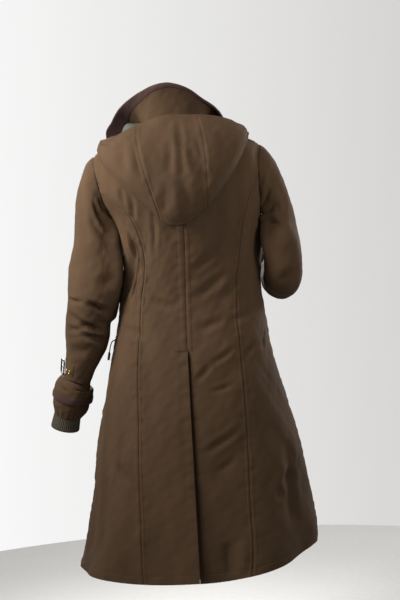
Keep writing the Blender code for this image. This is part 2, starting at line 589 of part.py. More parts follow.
def add_ring(name, radius, wire, point, normal):
    bpy.ops.mesh.primitive_torus_add(major_radius=radius, minor_radius=wire, major_segments=EYELET_SEGMENTS,
                                     minor_segments=EYELET_SIDES)
    ring = bpy.context.object
    ring.name = name
    place(ring, point, normal)
    return finish(ring, "brass")


def wire_frame(name, width, length, radius):
    """Closed rectangular wire with round corners, lying in its own XY plane."""
    data = bpy.data.curves.new(name, "CURVE")
    data.dimensions = "3D"
    data.bevel_depth, data.bevel_resolution = radius, 1
    spline = data.splines.new("POLY")
    corner = min(width, length) / 4
    points = []
    for quarter, (sx, sy) in enumerate(((1, 1), (-1, 1), (-1, -1), (1, -1))):
        for part in range(3):
            turn = math.radians(90 * quarter + 45 * part)
            points.append((sx * (width / 2 - corner) + corner * math.cos(turn),
                           sy * (length / 2 - corner) + corner * math.sin(turn), 0.0))
    spline.points.add(len(points) - 1)
    for point, place_at in zip(spline.points, points):
        point.co = (*place_at, 1.0)
    spline.use_cyclic_u = True
    return bpy.data.objects.new(name, data)


def make_collar():
    angles = np.linspace(-COLLAR_END, COLLAR_END, COLLAR_POINTS)
    below = np.linspace(0, 1, COLLAR_ROWS)[:, None] * (1 - np.interp(angles, *BINDING.T))
    face = collar_point(angles, np.concatenate((below, np.ones((1, COLLAR_POINTS)))))
    face[0, :, 2] += SEAM_GAP
    inward = grid_normals(face)
    wall("collar", face, face + CLOTH * inward, "coat_cloth")
    lining = CLOTH + SEAM_GAP
    wall("collar_facing", face + lining * inward, face + (lining + FACING) * inward, "plum_moleskin")
    edge, outward = face[-2:], -inward[-2:]
    wall("collar_binding", edge + (SEAM_GAP + FACING) * outward, edge + SEAM_GAP * outward, "plum_moleskin")


def hood_grid(angles, shares, turn):
    """Outer face of the hood at angles for each row. Its rows run from the neck (share -1) down to the lowest
    fold (0), where they turn over, and up to the rim (1)."""
    size = dict(zip(HOOD_COLUMNS, np.moveaxis(curve(HOOD[:, 0], HOOD, angles), -1, 0)))
    full = size["fullness"][..., None]
    down = np.clip(shares + 1, 0, 1)[:, None]
    slack = HOOD_SLACK * np.exp(-(((angles - SLACK_ANGLE) / SLACK_ANGLE_SPREAD) ** 2))
    slack = slack * np.exp(-(((down - SLACK_AT) / SLACK_SPREAD) ** 2))
    drop = size["foot_row"] - HOOD_TOP_ROW
    under = body_point(angles, HOOD_TOP_ROW + drop * down, HOOD_CLEARANCE + slack)
    normal = section_normal(angles, size["foot_row"])
    above = body_point(angles, size["foot_row"] - drop / HOOD_UNDER_ROWS, HOOD_CLEARANCE)
    ahead = unit(body_point(angles, size["foot_row"], HOOD_CLEARANCE) - above)
    bend = (HOOD_FOLD_LEAST + HOOD_FOLD_MORE * full / HOOD[:, 2].max()) / 2
    turn = turn[:, None, None]
    start = under + bend * ((1 - np.cos(turn)) * normal + np.sin(turn) * ahead)
    rim = np.stack((size["rim_x"], size["rim_y"], size["rim_z"]), -1)
    low = start + HOOD_LOW_AT * (rim - start) + full * normal
    high = start + HOOD_HIGH_AT * (rim - start) + HOOD_HIGH_SWELL * full * normal
    t = np.clip(shares, 0, 1)[:, None, None]
    over = (1 - t) ** 3 * start + 3 * (1 - t) ** 2 * t * low + 3 * (1 - t) * t**2 * high + t**3 * rim
    ridge = HOOD_RIDGE * np.exp(-(((angles - HOOD_RIDGE_ANGLE) / HOOD_RIDGE_SPREAD) ** 2))[..., None]
    return over + ridge * np.sin(np.pi * t) * normal


def make_hood():
    """Two sides and a middle panel, each running right round the hanging hood."""
    shares = np.concatenate((np.linspace(-1, 0, HOOD_UNDER_ROWS), np.zeros(HOOD_FOOT_ROWS),
                             np.linspace(0, 1, HOOD_OVER_ROWS)))
    turn = np.concatenate((np.zeros(HOOD_UNDER_ROWS), np.linspace(0, np.pi, HOOD_FOOT_ROWS + 2)[1:-1],
                           np.full(HOOD_OVER_ROWS, np.pi)))
    seams = np.cumsum((0, HOOD_SIDE_STRIPS, HOOD_MIDDLE_STRIPS, HOOD_SIDE_STRIPS))
    columns = np.arange(seams[-1] + 1)
    angles = np.stack([np.interp(columns, seams, (-HOOD_END, right, left, HOOD_END))
                       for right, left in curve(HOOD_SEAMS[:, 0], HOOD_SEAMS[:, 1:], shares)])
    face = hood_grid(angles, shares, turn)
    inward = grid_normals(face)
    across = unit(np.gradient(face, axis=1))
    for name, first, last in zip(("hood_right", "hood_middle", "hood_left"), seams, seams[1:]):
        panel, into = face[:, first:last + 1].copy(), inward[:, first:last + 1]
        panel[:, 0] += across[:, first] * SEAM_GAP / 2
        panel[:, -1] -= across[:, last] * SEAM_GAP / 2
        wall(name, panel, panel + CLOTH * into, "coat_cloth")
    lined = np.abs(angles[0]) <= LINING_END
    lining, into = face[:, lined] + (CLOTH + SEAM_GAP) * inward[:, lined], inward[:, lined]
    wall("hood_lining", lining, lining + HOOD_LINING * into, "sage_lining")


def make_drawcord():
    """Free end of the waist drawcord: eyelet in the side, short hanging cord, barrel end."""
    angle, row = np.array(CORD_ANGLE), np.array(CORD_ROW)
    normal = section_normal(angle, row)
    add_ring("drawcord_eyelet", CORD_EYELET_RADIUS, CORD_EYELET_WIRE,
             body_point(angle, row, CORD_EYELET_WIRE + SEAM_GAP), normal)
    level = unit(normal * np.array((1.0, 1.0, 0.0)))
    root = body_point(angle, row)
    route = [root + level * out + np.array((0.0, 0.0, up)) for out, up in CORD_ROUTE]
    data = bpy.data.curves.new("drawcord", "CURVE")
    data.dimensions = "3D"
    data.bevel_depth, data.bevel_resolution, data.use_fill_caps = CORD_RADIUS, 2, True
    spline = data.splines.new("POLY")
    smooth = curve(range(len(route)), route, np.linspace(0, len(route) - 1, CORD_POINTS))
    spline.points.add(len(smooth) - 1)
    for point, at in zip(spline.points, smooth):
        point.co = (*at, 1.0)
    finish(bpy.data.objects.new("drawcord", data), "black_cord")
    hang = unit(route[-1] - route[-2])
    bpy.ops.mesh.primitive_cone_add(vertices=CORD_END_SIDES, radius1=CORD_END_RADIUS, radius2=CORD_END_TIP,
                                    depth=CORD_END_LENGTH)
    barrel = bpy.context.object
    barrel.name = "drawcord_end"
    place(barrel, route[-1] + hang * (CORD_END_LENGTH / 2 + SEAM_GAP), -hang, Vector((0, 1, 0)))
    finish(barrel, "black_cord")


def main():
    make_body()
    make_vent_underlap()
    make_front_fly()
    arms = (("left", 1, LEFT_ARM, LEFT_CREASES), ("right", -1, RIGHT_ARM, RIGHT_CREASES))
    for label, side, arm, creases in arms:
        make_sleeve(label, side, arm, creases)
        make_cuffs(label, side, arm, creases)
        make_cuff_strap(label, side, arm, creases)
    make_collar()
    make_hood()
    make_drawcord()


for old in list(bpy.data.objects):
    bpy.data.objects.remove(old)
COAT = bpy.data.collections.new("riding_coat")
bpy.context.scene.collection.children.link(COAT)
main()
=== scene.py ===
"""Looks of a long hooded riding coat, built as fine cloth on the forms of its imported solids.

Metres, +Z up. The coat faces -Y and the wearer's left is +X. Angles round the body are 0 at centre back,
+90 at the left side and 180 at centre front. Body rows run from 0 at the hem to 14 at the neck seam.
"""

import math
from collections import namedtuple

import bpy
import numpy as np
from mathutils import Matrix, Vector


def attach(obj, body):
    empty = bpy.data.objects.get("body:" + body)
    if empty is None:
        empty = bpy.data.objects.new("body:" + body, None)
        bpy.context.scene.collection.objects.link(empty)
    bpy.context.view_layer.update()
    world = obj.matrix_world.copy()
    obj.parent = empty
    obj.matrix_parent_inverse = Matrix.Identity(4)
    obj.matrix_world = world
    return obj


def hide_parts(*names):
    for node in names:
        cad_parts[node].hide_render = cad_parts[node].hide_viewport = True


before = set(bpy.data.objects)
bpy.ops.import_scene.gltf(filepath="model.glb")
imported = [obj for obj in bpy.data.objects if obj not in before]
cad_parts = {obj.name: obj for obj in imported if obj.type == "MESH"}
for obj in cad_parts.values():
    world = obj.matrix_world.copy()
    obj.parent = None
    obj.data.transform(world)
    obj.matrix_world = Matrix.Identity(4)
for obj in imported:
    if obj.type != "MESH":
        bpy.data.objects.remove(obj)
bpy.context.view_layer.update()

# Cloth and its facing are a little thinner here than in the solids. CLOTH is the solids' thickness.
SHELL = 0.0016
FACING = 0.0013

# Sizes shared with the solids
SEAM_GAP = 0.0003
LAYER_GAP = 0.0008
CLOTH = 0.0018
SQUARENESS = 0.9

HEM, ARMPIT, SHOULDER, NECK = 0, 9, 12, 14
NECK_EDGE_ROW = 13.985
ARMHOLE_ANGLE, ARMHOLE_HALF_ANGLE = 93.0, 27.0
SLEEVE_SETBACK = 0.985

# Body sections from hem to neck: heights at the four quarters, then the reach from the middle.
SECTION_COLUMNS = ("z_left", "z_right", "z_back", "z_front", "left", "right", "back", "front")
SECTIONS = np.array([
    (-1.104, -1.068, -1.111, -1.095, 0.309, 0.306, 0.262, 0.245),
    (-1.055, -1.030, -1.060, -1.050, 0.292, 0.309, 0.248, 0.232),
    (-0.940, -0.940, -0.940, -0.940, 0.266, 0.294, 0.215, 0.205),
    (-0.820, -0.820, -0.820, -0.820, 0.247, 0.275, 0.190, 0.182),
    (-0.700, -0.700, -0.700, -0.700, 0.220, 0.246, 0.170, 0.165),
    (-0.580, -0.580, -0.580, -0.580, 0.193, 0.219, 0.148, 0.148),
    (-0.500, -0.500, -0.500, -0.500, 0.175, 0.206, 0.128, 0.134),
    (-0.430, -0.430, -0.430, -0.430, 0.163, 0.199, 0.118, 0.128),
    (-0.345, -0.345, -0.345, -0.345, 0.147, 0.202, 0.126, 0.132),
    (-0.235, -0.235, -0.235, -0.235, 0.166, 0.211, 0.146, 0.145),
    (-0.165, -0.165, -0.165, -0.172, 0.205, 0.220, 0.150, 0.142),
    (-0.105, -0.105, -0.105, -0.130, 0.218, 0.222, 0.140, 0.135),
    (-0.062, -0.055, -0.062, -0.100, 0.205, 0.208, 0.120, 0.122),
    (-0.028, -0.028, -0.030, -0.082, 0.145, 0.145, 0.098, 0.105),
    (0.012, 0.012, 0.000, -0.065, 0.080, 0.080, 0.068, 0.085),
])

# The princess seams of the back run up into the armholes: row, angle on the left, angle on the right.
PRINCESS_SEAM = np.array([
    (0.0, 24.0, 21.4), (2.0, 28.0, 24.5), (3.5, 31.5, 29.3), (5.2, 37.0, 36.0), (6.6, 37.5, 38.6),
    (8.0, 37.4, 43.4), (8.8, 39.7, 48.0), (9.5, 47.0, 53.0), (10.0, 56.0, 59.0), (10.5, 65.6, 65.6),
])
PRINCESS_TOP = 10.5

# The centre-back seam wanders a little to the right of the middle between waist and shoulders: row, angle.
CENTRE_SEAM = np.array([(0.0, 0.0), (5.2, -0.5), (6.9, -1.2), (8.3, -2.2), (14.0, -2.2)])

# Creases fade towards their ends. Those with lips are sharper and have a raised lip on each side: power of
# the fade, power of the sharper shape, then the lips' share of the depth, place and spread in crease widths.
CREASE_TAPER, CREASE_POWER, LIP_HEIGHT, LIP_AT, LIP_SPREAD = 0.7, 1.5, 0.3, 1.9, 0.7

# Folds of the body, which fade out over the rows below the calm row: angle and height of each end, width,
# depth (out is positive). The solids have the same folds, four of them deeper.
FOLD_RADIUS, CALM_ROW, CALM_ROWS = 0.19, 11.0, 1.5
LARGE_FOLDS = [
    (46, -0.28, 70, -0.44, 0.022, -0.012), (62, -0.27, 84, -0.43, 0.02, 0.006),
    (26, -0.2, 40, -0.36, 0.024, -0.006), (-48, -0.24, -10, -0.4, 0.03, -0.006),
    (-52, -0.55, -4, -0.68, 0.03, -0.004), (-42, -0.74, -4, -0.89, 0.032, -0.005),
    (-84, -0.52, -52, -0.64, 0.028, -0.004), (-80, -0.82, -54, -1, 0.034, -0.006),
]

# Folds that run out at the hem with their full depth, in the same columns and in the solids too.
HEM_FOLDS = [
    (-13, -1.19, -11, -0.92, 0.03, -0.014), (-27, -1.17, -24, -0.9, 0.032, 0.01),
    (-58, -1.13, -50, -0.86, 0.04, -0.014), (16, -1.18, 18, -0.86, 0.036, -0.007),
    (50, -1.15, 44, -0.84, 0.04, 0.011), (72, -1.13, 66, -0.82, 0.04, -0.013),
    (118, -1.13, 114, -0.78, 0.045, 0.012), (146, -1.13, 142, -0.8, 0.045, -0.012),
    (-118, -1.1, -114, -0.78, 0.045, 0.012), (-146, -1.12, -142, -0.8, 0.045, -0.012),
]

# Creases of the body with raised lips, in the same columns.
FINE_FOLDS = [
    (38, -0.149, 42, -0.192, 0.006, -0.0062), (30, -0.168, 40, -0.233, 0.007, -0.0062),
    (18, -0.215, 24, -0.33, 0.008, -0.0039), (52, -0.26, 52, -0.337, 0.007, -0.0085),
    (47, -0.295, 45, -0.373, 0.007, -0.0078), (47, -0.357, 52, -0.432, 0.007, -0.0078),
    (-30, -0.3, -5, -0.372, 0.009, -0.0039), (-4, -0.439, -34, -0.371, 0.009, -0.0047),
    (-50, -0.37, -24, -0.45, 0.01, -0.0043), (28, -0.434, 5, -0.457, 0.009, -0.0039),
    (62, -0.5, 30, -0.52, 0.01, -0.0047), (-6, -0.513, -27, -0.489, 0.009, -0.0043),
    (-60, -0.47, -30, -0.5, 0.009, -0.0039), (-2, -0.641, -13, -0.599, 0.006, -0.0048),
    (-13, -0.599, -32, -0.561, 0.006, -0.0048), (-10, -0.666, -26, -0.65, 0.005, -0.0043),
    (-37, -0.59, -52, -0.553, 0.007, -0.0048), (-72, -0.53, -58, -0.575, 0.008, -0.0062),
    (-3, -0.817, -26, -0.754, 0.007, -0.0048), (-20, -0.83, -8, -0.862, 0.006, -0.0029),
    (-74, -0.851, -46, -0.908, 0.011, -0.0093), (-46, -0.908, -42, -0.94, 0.009, -0.007),
    (47, -0.829, 36, -0.883, 0.01, -0.0062), (90, -0.889, 73, -1.063, 0.015, -0.0093),
    (58, -0.871, 54, -1.059, 0.017, -0.0093), (-12, -1.022, -12, -1.1, 0.011, -0.0085),
    (-17, -1.024, -18, -1.093, 0.009, 0.0062), (-60, -0.802, -50, -1.012, 0.015, -0.0093),
    (110, -0.3, 150, -0.38, 0.013, -0.0062), (-110, -0.3, -150, -0.39, 0.013, -0.0062),
    (105, -0.48, 150, -0.51, 0.012, -0.0054), (-105, -0.47, -148, -0.5, 0.012, -0.0054),
    (120, -0.62, 160, -0.74, 0.015, -0.0062), (-122, -0.64, -158, -0.72, 0.015, -0.0062),
]

# Slight unevenness of all cloth: waves to the metre along two ways, start of the wave, height.
RIPPLES = [
    (3.1, 2.3, 0.4, 0.0013), (7.9, -4.7, 1.3, 0.0009), (-12.7, 6.1, 2.9, 0.0006), (17.3, 11.9, 4.1, 0.0004),
    (-29.0, 17.0, 0.7, 0.00022), (41.0, 23.0, 2.2, 0.00016), (-23.0, -37.0, 5.0, 0.00018),
]

# The back vent: the left edge lies over the right one and stands away from it towards the hem.
VENT_TOP_ROW, VENT_SPREAD, VENT_LIFT, VENT_SINK, VENT_BOW = 5.19, 13.0, 0.010, 0.014, 1.5
VENT_EDGE, VENT_EDGE_ROWS, VENT_EDGE_SPREAD = 0.0026, 0.12, 2.6
VENT_GROOVE, VENT_GROOVE_SPREAD = 0.006, 0.9
UNDERLAP_TUCK, UNDERLAP_WIDTH = 0.008, 0.045
UNDERLAP_SKIP, UNDERLAP_COLUMNS = 4, 12
VENT_STITCH, VENT_STITCH_FOOT, VENT_POINTS = 0.030, 0.45, 120
VENT_BAR, VENT_BAR_START, VENT_BAR_POINTS, VENT_BAR_LIFTS, VENT_BAR_OUT = 0.046, 0.1, 12, (0.0, 0.02), 0.0004

# Front fly and its buttons
FRONT = 180.0
FLY_LEFT, FLY_RIGHT, FLY_TOP_ROW, FLY_FOOT_ROW = 0.012, 0.050, 13.2, 0.35
FLY_STITCH, FLY_DENT, FLY_DENT_SPREAD, FLY_STITCH_SINK = 0.006, 0.0006, 0.0012, 0.0003
FLY_EDGE_SHARE, FLY_EDGE_COLUMNS, FLY_COLUMNS = 0.12, 5, 10
BUTTON_RADIUS, BUTTON_HEIGHT, BUTTON_ANGLE, BUTTON_AXIS, BUTTON_SIDES = 0.0095, 0.0035, -176.0, 0.001, 28
BUTTON_PROFILE = ((0.6, -1), (1, -0.3), (1, 0.35), (0.93, 1), (0.8, 1), (0.7, 0.45), (0.25, 0.4))
BUTTON_ROWS = (12.6, 10.6, 8.7, 7.2, 5.8, 4.5)

# Collar: angle round the neck, out and up of its middle from the neck seam, then the place of its edge.
COLLAR_COLUMNS = ("angle", "mid_out", "mid_up", "edge_x", "edge_y", "edge_z")
COLLAR = np.array([
    (-168, 0.055, 0.006, -0.118, -0.142, -0.078),
    (-150, 0.045, 0.014, -0.136, -0.098, -0.032),
    (-120, 0.028, 0.016, -0.131, -0.045, 0.010),
    (-90, 0.015, 0.018, -0.114, 0.010, 0.034),
    (-60, 0.008, 0.030, -0.083, 0.052, 0.057),
    (-30, 0.008, 0.048, -0.042, 0.083, 0.086),
    (0, 0.007, 0.056, 0.003, 0.095, 0.100),
    (30, 0.008, 0.053, 0.045, 0.085, 0.097),
    (60, 0.009, 0.043, 0.085, 0.058, 0.081),
    (90, 0.020, 0.030, 0.126, 0.020, 0.057),
    (120, 0.038, 0.026, 0.157, -0.030, 0.024),
    (150, 0.058, 0.026, 0.175, -0.075, -0.018),
    (168, 0.066, 0.020, 0.150, -0.138, -0.068),
])
COLLAR_END = 168.0
COLLAR_FINENESS, COLLAR_ROWS, COLLAR_BINDING_ROWS, COLLAR_ROLL = 150, 22, 8, (0.5, 0.8)
COLLAR_RADIUS, COLLAR_RISE, COLLAR_SOFT, COLLAR_CALM = 0.1, 0.1, 0.7, 0.2

# Share of the collar's height that the edge binding takes: angle, share.
BINDING = np.array([
    (-168, 0.16), (-90, 0.20), (-60, 0.18), (-30, 0.12), (0, 0.11), (30, 0.17), (60, 0.33), (90, 0.42),
    (168, 0.38),
])

# Hood hanging open on the back: angle, body row of its lowest fold, how full it is, and the place of its rim.
HOOD_COLUMNS = ("angle", "foot_row", "fullness", "rim_x", "rim_y", "rim_z")
HOOD = np.array([
    (-116, 13.35, 0.006, -0.098, -0.046, -0.001),
    (-100, 12.90, 0.008, -0.142, -0.022, -0.010),
    (-82, 12.50, 0.010, -0.166, 0.012, -0.026),
    (-62, 12.22, 0.014, -0.160, 0.045, -0.012),
    (-49, 11.75, 0.020, -0.140, 0.075, 0.002),
    (-40, 11.03, 0.028, -0.115, 0.098, 0.011),
    (-31, 10.33, 0.036, -0.088, 0.112, 0.015),
    (-23, 9.80, 0.042, -0.066, 0.118, 0.017),
    (-12, 9.20, 0.046, -0.035, 0.122, 0.018),
    (0, 8.90, 0.046, -0.003, 0.123, 0.019),
    (14, 9.18, 0.046, 0.035, 0.122, 0.014),
    (22, 9.65, 0.044, 0.060, 0.117, 0.009),
    (30, 10.12, 0.040, 0.083, 0.108, 0.002),
    (40, 10.78, 0.032, 0.112, 0.092, -0.009),
    (52, 11.60, 0.022, 0.140, 0.066, -0.021),
    (66, 12.20, 0.014, 0.160, 0.040, -0.030),
    (84, 12.48, 0.010, 0.170, 0.008, -0.030),
    (100, 12.85, 0.008, 0.148, -0.026, -0.016),
    (116, 13.35, 0.006, 0.101, -0.049, -0.003),
])
HOOD_END, HOOD_TOP_ROW, HOOD_CLEARANCE = 116.0, 13.80, 0.0045
HOOD_FOLD_LEAST, HOOD_FOLD_MORE = 0.0112, 0.0048
HOOD_LOW_AT, HOOD_HIGH_AT, HOOD_HIGH_SWELL = 0.20, 0.72, 1.5
HOOD_RIDGE, HOOD_RIDGE_ANGLE, HOOD_RIDGE_SPREAD = 0.007, -1.0, 7.0
HOOD_LINING, LINING_END, LINING_DEPTH = 0.0008, 72.0, CLOTH + 4 * SEAM_GAP

# Seams of the hood's middle panel: share (-1 at the neck, 0 at the lowest fold, 1 at the rim), then the right
# and left angle.
HOOD_SEAMS = np.array([(-1.0, -20.0, 20.0), (0.0, -16.5, 12.5), (0.63, -19.0, 23.5), (1.0, -21.0, 31.0)])

# Slack of the hood that bunches up beside the collar on the left: height, then where and how far it spreads.
HOOD_SLACK, SLACK_ANGLE, SLACK_ANGLE_SPREAD, SLACK_AT, SLACK_SPREAD = 0.018, 62.0, 20.0, 0.20, 0.16

# Fineness of the hood, its stitched rim, and its wrinkles with lips: angle and share of the way up to the rim
# at each end, width, depth.
HOOD_UNDER, HOOD_FOOT, HOOD_OVER = 40, 9, 64
HOOD_RADIUS, HOOD_RISE, HOOD_SIDE_WIDTH, HOOD_MIDDLE_WIDTH = 0.18, 0.22, 0.30, 0.125
HOOD_CALM, HOOD_LINE_MARGIN, HOOD_LINE_POINTS = 0.125, 1.0, 150
RIM_STITCH, RIM_PUFF, RIM_DENT_SPREAD = 0.0105, 0.0012, 0.0014
HOOD_SEAM_LEAST, HOOD_SEAM_MOST, HOOD_SEAM_FADE = 0.15, 0.75, 0.14
HOOD_FOLDS = [
    (-4, 0.94, -3.5, 0.44, 0.007, -0.0075), (-3, 0.46, -6, 0.08, 0.008, -0.0067),
    (-8, 0.74, -13, 0.46, 0.007, -0.0067), (-12, 0.54, -18, 0.24, 0.007, -0.0067),
    (-15, 0.72, -17, 0.42, 0.007, -0.0042), (3, 0.78, 4, 0.5, 0.007, -0.0042),
    (6, 0.42, 9, 0.1, 0.009, -0.0045), (27, 0.72, 21, 0.36, 0.008, -0.0053),
    (36, 0.74, 30, 0.24, 0.011, -0.0045), (-30, 0.72, -35, 0.24, 0.012, -0.0045),
    (44, 0.62, 60, 0.4, 0.009, -0.0037), (-46, 0.6, -60, 0.34, 0.01, -0.0037),
]

# Arm stations from the end of the sleeve head to the wrist: middle of the ring, then its half sizes.
LEFT_ARM = np.array([
    (0.2150, 0.014, -0.274, 0.0530, 0.064),
    (0.2190, 0.022, -0.350, 0.0660, 0.066),
    (0.2270, 0.028, -0.422, 0.0675, 0.064),
    (0.2440, 0.025, -0.475, 0.0580, 0.058),
    (0.2540, 0.018, -0.533, 0.0540, 0.053),
    (0.2770, 0.004, -0.600, 0.0385, 0.043),
    (0.2880, -0.002, -0.629, 0.0350, 0.039),
    (0.2950, -0.005, -0.643, 0.0485, 0.046),
    (0.3045, -0.013, -0.678, 0.0500, 0.047),
    (0.3110, -0.019, -0.698, 0.0465, 0.043),
    (0.3195, -0.026, -0.722, 0.0340, 0.034),
    (0.3290, -0.034, -0.757, 0.0375, 0.034),
])
RIGHT_ARM = np.array([
    (-0.2540, 0.022, -0.274, 0.0430, 0.060),
    (-0.2565, 0.040, -0.318, 0.0475, 0.060),
    (-0.2565, 0.038, -0.360, 0.0490, 0.053),
    (-0.2550, 0.004, -0.396, 0.0490, 0.052),
    (-0.2525, -0.058, -0.402, 0.0480, 0.050),
    (-0.2440, -0.135, -0.388, 0.0385, 0.043),
    (-0.2405, -0.166, -0.381, 0.0350, 0.039),
    (-0.2390, -0.181, -0.378, 0.0475, 0.046),
    (-0.2355, -0.217, -0.369, 0.0490, 0.047),
    (-0.2335, -0.238, -0.364, 0.0460, 0.043),
    (-0.2310, -0.263, -0.358, 0.0340, 0.034),
    (-0.2275, -0.300, -0.349, 0.0375, 0.034),
])
HEM_STATION = 8.0
CAP_START, CAP_OUT, CAP_DOWN, CAP_CALM = -1.0, 0.93, -0.36, 0.25
CAP_REACH_MEAN, CAP_REACH_SWING, CAP_HANG_MEAN, CAP_HANG_SWING = 0.030, 0.016, 0.056, 0.040
SLEEVE_SEAM, ALLOWANCE = 112.5, 0.008
SLEEVE_SAMPLES, SLEEVE_FINENESS, HEAD_LENGTH = 300, 1.25, 0.17

# The sleeve's head is eased into the armhole: groove and fade of its seams, then the fullness.
HEAD_GROOVE, HEAD_GROOVE_SPREAD, HEAD_SEAM_FADE = 0.0012, 0.0016, 0.01
EASE, EASE_WAVES, EASE_FADE, EASE_START = 0.0008, 19, 0.030, 0.008

# Creases of the sleeves: angle and station of each end, width, depth.
SLEEVE_RADIUS, STATION_LENGTH = 0.055, 0.065
LEFT_CREASES = [
    (40, 2.55, 175, 2.3, 0.02, -0.007), (70, 3.15, 190, 2.75, 0.018, -0.008),
    (120, 2.75, 220, 2.5, 0.018, 0.005), (20, 1.1, 120, 0.5, 0.022, -0.004),
    (20, 2.45, 100, 2.62, 0.013, 0.004), (55, 3.05, 125, 2.9, 0.011, 0.004),
]
RIGHT_CREASES = [
    (60, 0.1, 150, -0.25, 0.02, -0.005), (255, 2.45, 320, 2.45, 0.018, -0.005),
    (40, 1.3, 130, 1.6, 0.022, -0.004),
]

# Creases of the sleeves with raised lips, in the same columns.
LEFT_FINE = [
    (78, 2.18, 135, 2.38, 0.006, -0.0125), (30, 2.82, 142, 3.45, 0.0075, -0.0125),
    (72, 3.5, 168, 3.84, 0.007, -0.0115), (15, 2.3, 70, 2.22, 0.006, -0.0065),
    (30, 3.45, 90, 3.25, 0.007, -0.006), (95, -0.6, 150, -0.12, 0.008, -0.008),
    (80, -0.3, 140, 0.12, 0.008, -0.0057), (95, 1.6, 140, 1.3, 0.01, -0.004),
    (40, 4.3, 120, 4.05, 0.01, -0.004), (20, 6.1, 160, 5.95, 0.006, -0.0057),
    (70, 6.75, 150, 6.95, 0.006, -0.0052), (10, 7.05, 80, 7.2, 0.006, -0.0052),
]
RIGHT_FINE = [
    (70, 0.55, 160, 0.15, 0.01, -0.006), (80, -0.2, 165, -0.55, 0.008, -0.01),
    (60, -0.45, 150, -0.75, 0.007, -0.0075), (95, 0.2, 160, -0.15, 0.008, -0.008),
    (30, 2.1, 110, 2.3, 0.01, -0.0045), (60, 3.3, 140, 3.1, 0.01, -0.0045),
    (20, 6.1, 160, 5.95, 0.006, -0.006), (70, 6.75, 150, 6.95, 0.005, -0.005),
]

# Both arms: side is 1 on the wearer's left and -1 on the right.
Arm = namedtuple("Arm", "label side rings creases fine_creases")
ARMS = (
    Arm("left", 1, LEFT_ARM, LEFT_CREASES, LEFT_FINE),
    Arm("right", -1, RIGHT_ARM, RIGHT_CREASES, RIGHT_FINE),
)

# Where each sleeve presses against the body it swells towards the back: angle and spread, reach along the
# arm, then height and station for the left (1) and right (-1) arm.
SWELL_ANGLE, SWELL_SPREAD, SWELL_REACH = 148.0, 15.0, 1.35
SWELL = {1: (0.019, 0.5), -1: (0.017, 0.2)}

# Cuff straps, and the binding of the sleeve's hem
STRAP_STATIONS, STRAP_REACH, STRAP_RINGS, STRAP_COLUMNS, STRAP_ROWS = (4.75, 5.55), 67.5, (4, 6), 90, 22
STRAP_THICK, STRAP_LENGTH, STRAP_WIDTH, STRAP_EDGE, STRAP_ROUND = 0.0013, 0.060, 0.034, 0.35, 0.003
STRAP_STITCH, STRAP_DENT, STRAP_DENT_SPREAD = 0.0055, 0.0004, 0.0011
BINDING_STATION, BINDING_PAST, BINDING_ROWS, BINDING_ROLL = 7.58, 0.03, 10, (0.55, 0.75)

# Cuffs: gathered storm cuff inside the sleeve's hem (station and half sizes), rib at the wrist.
CUFF_COLUMNS, STORM_ROWS, STORM_RADIUS, STORM_STATION_LENGTH = 96, 24, 0.05, 0.03
GATHER, GATHER_WAVES, GATHER_DRIFT, GATHER_START, GATHER_REACH = 0.0009, 17, 3, 8.2, 1.6
STORM_CUFF = np.array([
    (7.30, 0.0410, 0.0405), (8.00, 0.0450, 0.0430), (8.60, 0.0462, 0.0435), (9.30, 0.0430, 0.0405),
    (10.0, 0.0345, 0.0345),
])
RIB_CUFF = np.array([(10.02, 0.0347, 0.0346), (10.50, 0.0360, 0.0344), (11.0, 0.0375, 0.0345)])
RIB_COUNT, RIB_POINTS, RIB_ROWS, RIB_DEPTH, RIB_ROUND, RIB_ROUND_FROM = 46, 6, 20, 0.0008, 0.0012, 10.9

# Cuff buckle and eyelets
BUCKLE_ANGLE, BUCKLE_STAND, BUCKLE_TILT = -2.0, 0.0068, 20.0
BUCKLE_LONG, BUCKLE_WIDE, BUCKLE_WIRE, BUCKLE_CORNER, CORNER_STEPS = 0.037, 0.028, 0.0021, 0.25, 8
TONGUE_WIRE, TONGUE_POINTS, WIRE_SIDES, RING_POINTS = 0.7 * BUCKLE_WIRE, 8, 12, 32
EYELET_ANGLES, EYELET_RADIUS, EYELET_WIRE = (36.0, 52.0), 0.0036, 0.0011

# Waist drawcord that comes out at the left side
CORD_ANGLE, CORD_ROW, CORD_RADIUS = 84.0, 5.55, 0.0014
CORD_ROUTE = ((0.0030, 0.0), (0.0070, -0.0010), (0.0110, -0.0050), (0.0140, -0.0120), (0.0162, -0.0200),
              (0.0180, -0.0290))
CORD_POINTS, CORD_EYELET_RADIUS, CORD_EYELET_WIRE = 40, 0.0048, 0.0012
CORD_END_RADIUS, CORD_END_LENGTH, CORD_END_AXIS, CORD_END_SIDES = 0.0032, 0.021, 0.0005, 20
CORD_END_PROFILE = ((0.72, -1), (0.95, -0.85), (1, 0), (0.95, 0.75), (0.75, 1))

# Fineness of the cloth and of lines on it, and the angle from which an edge stays sharp
CELL, BODY_SAMPLES, LINE_POINTS, SHELL_SHARP, LATHE_SHARP = 0.0055, 600, 80, 55, 40

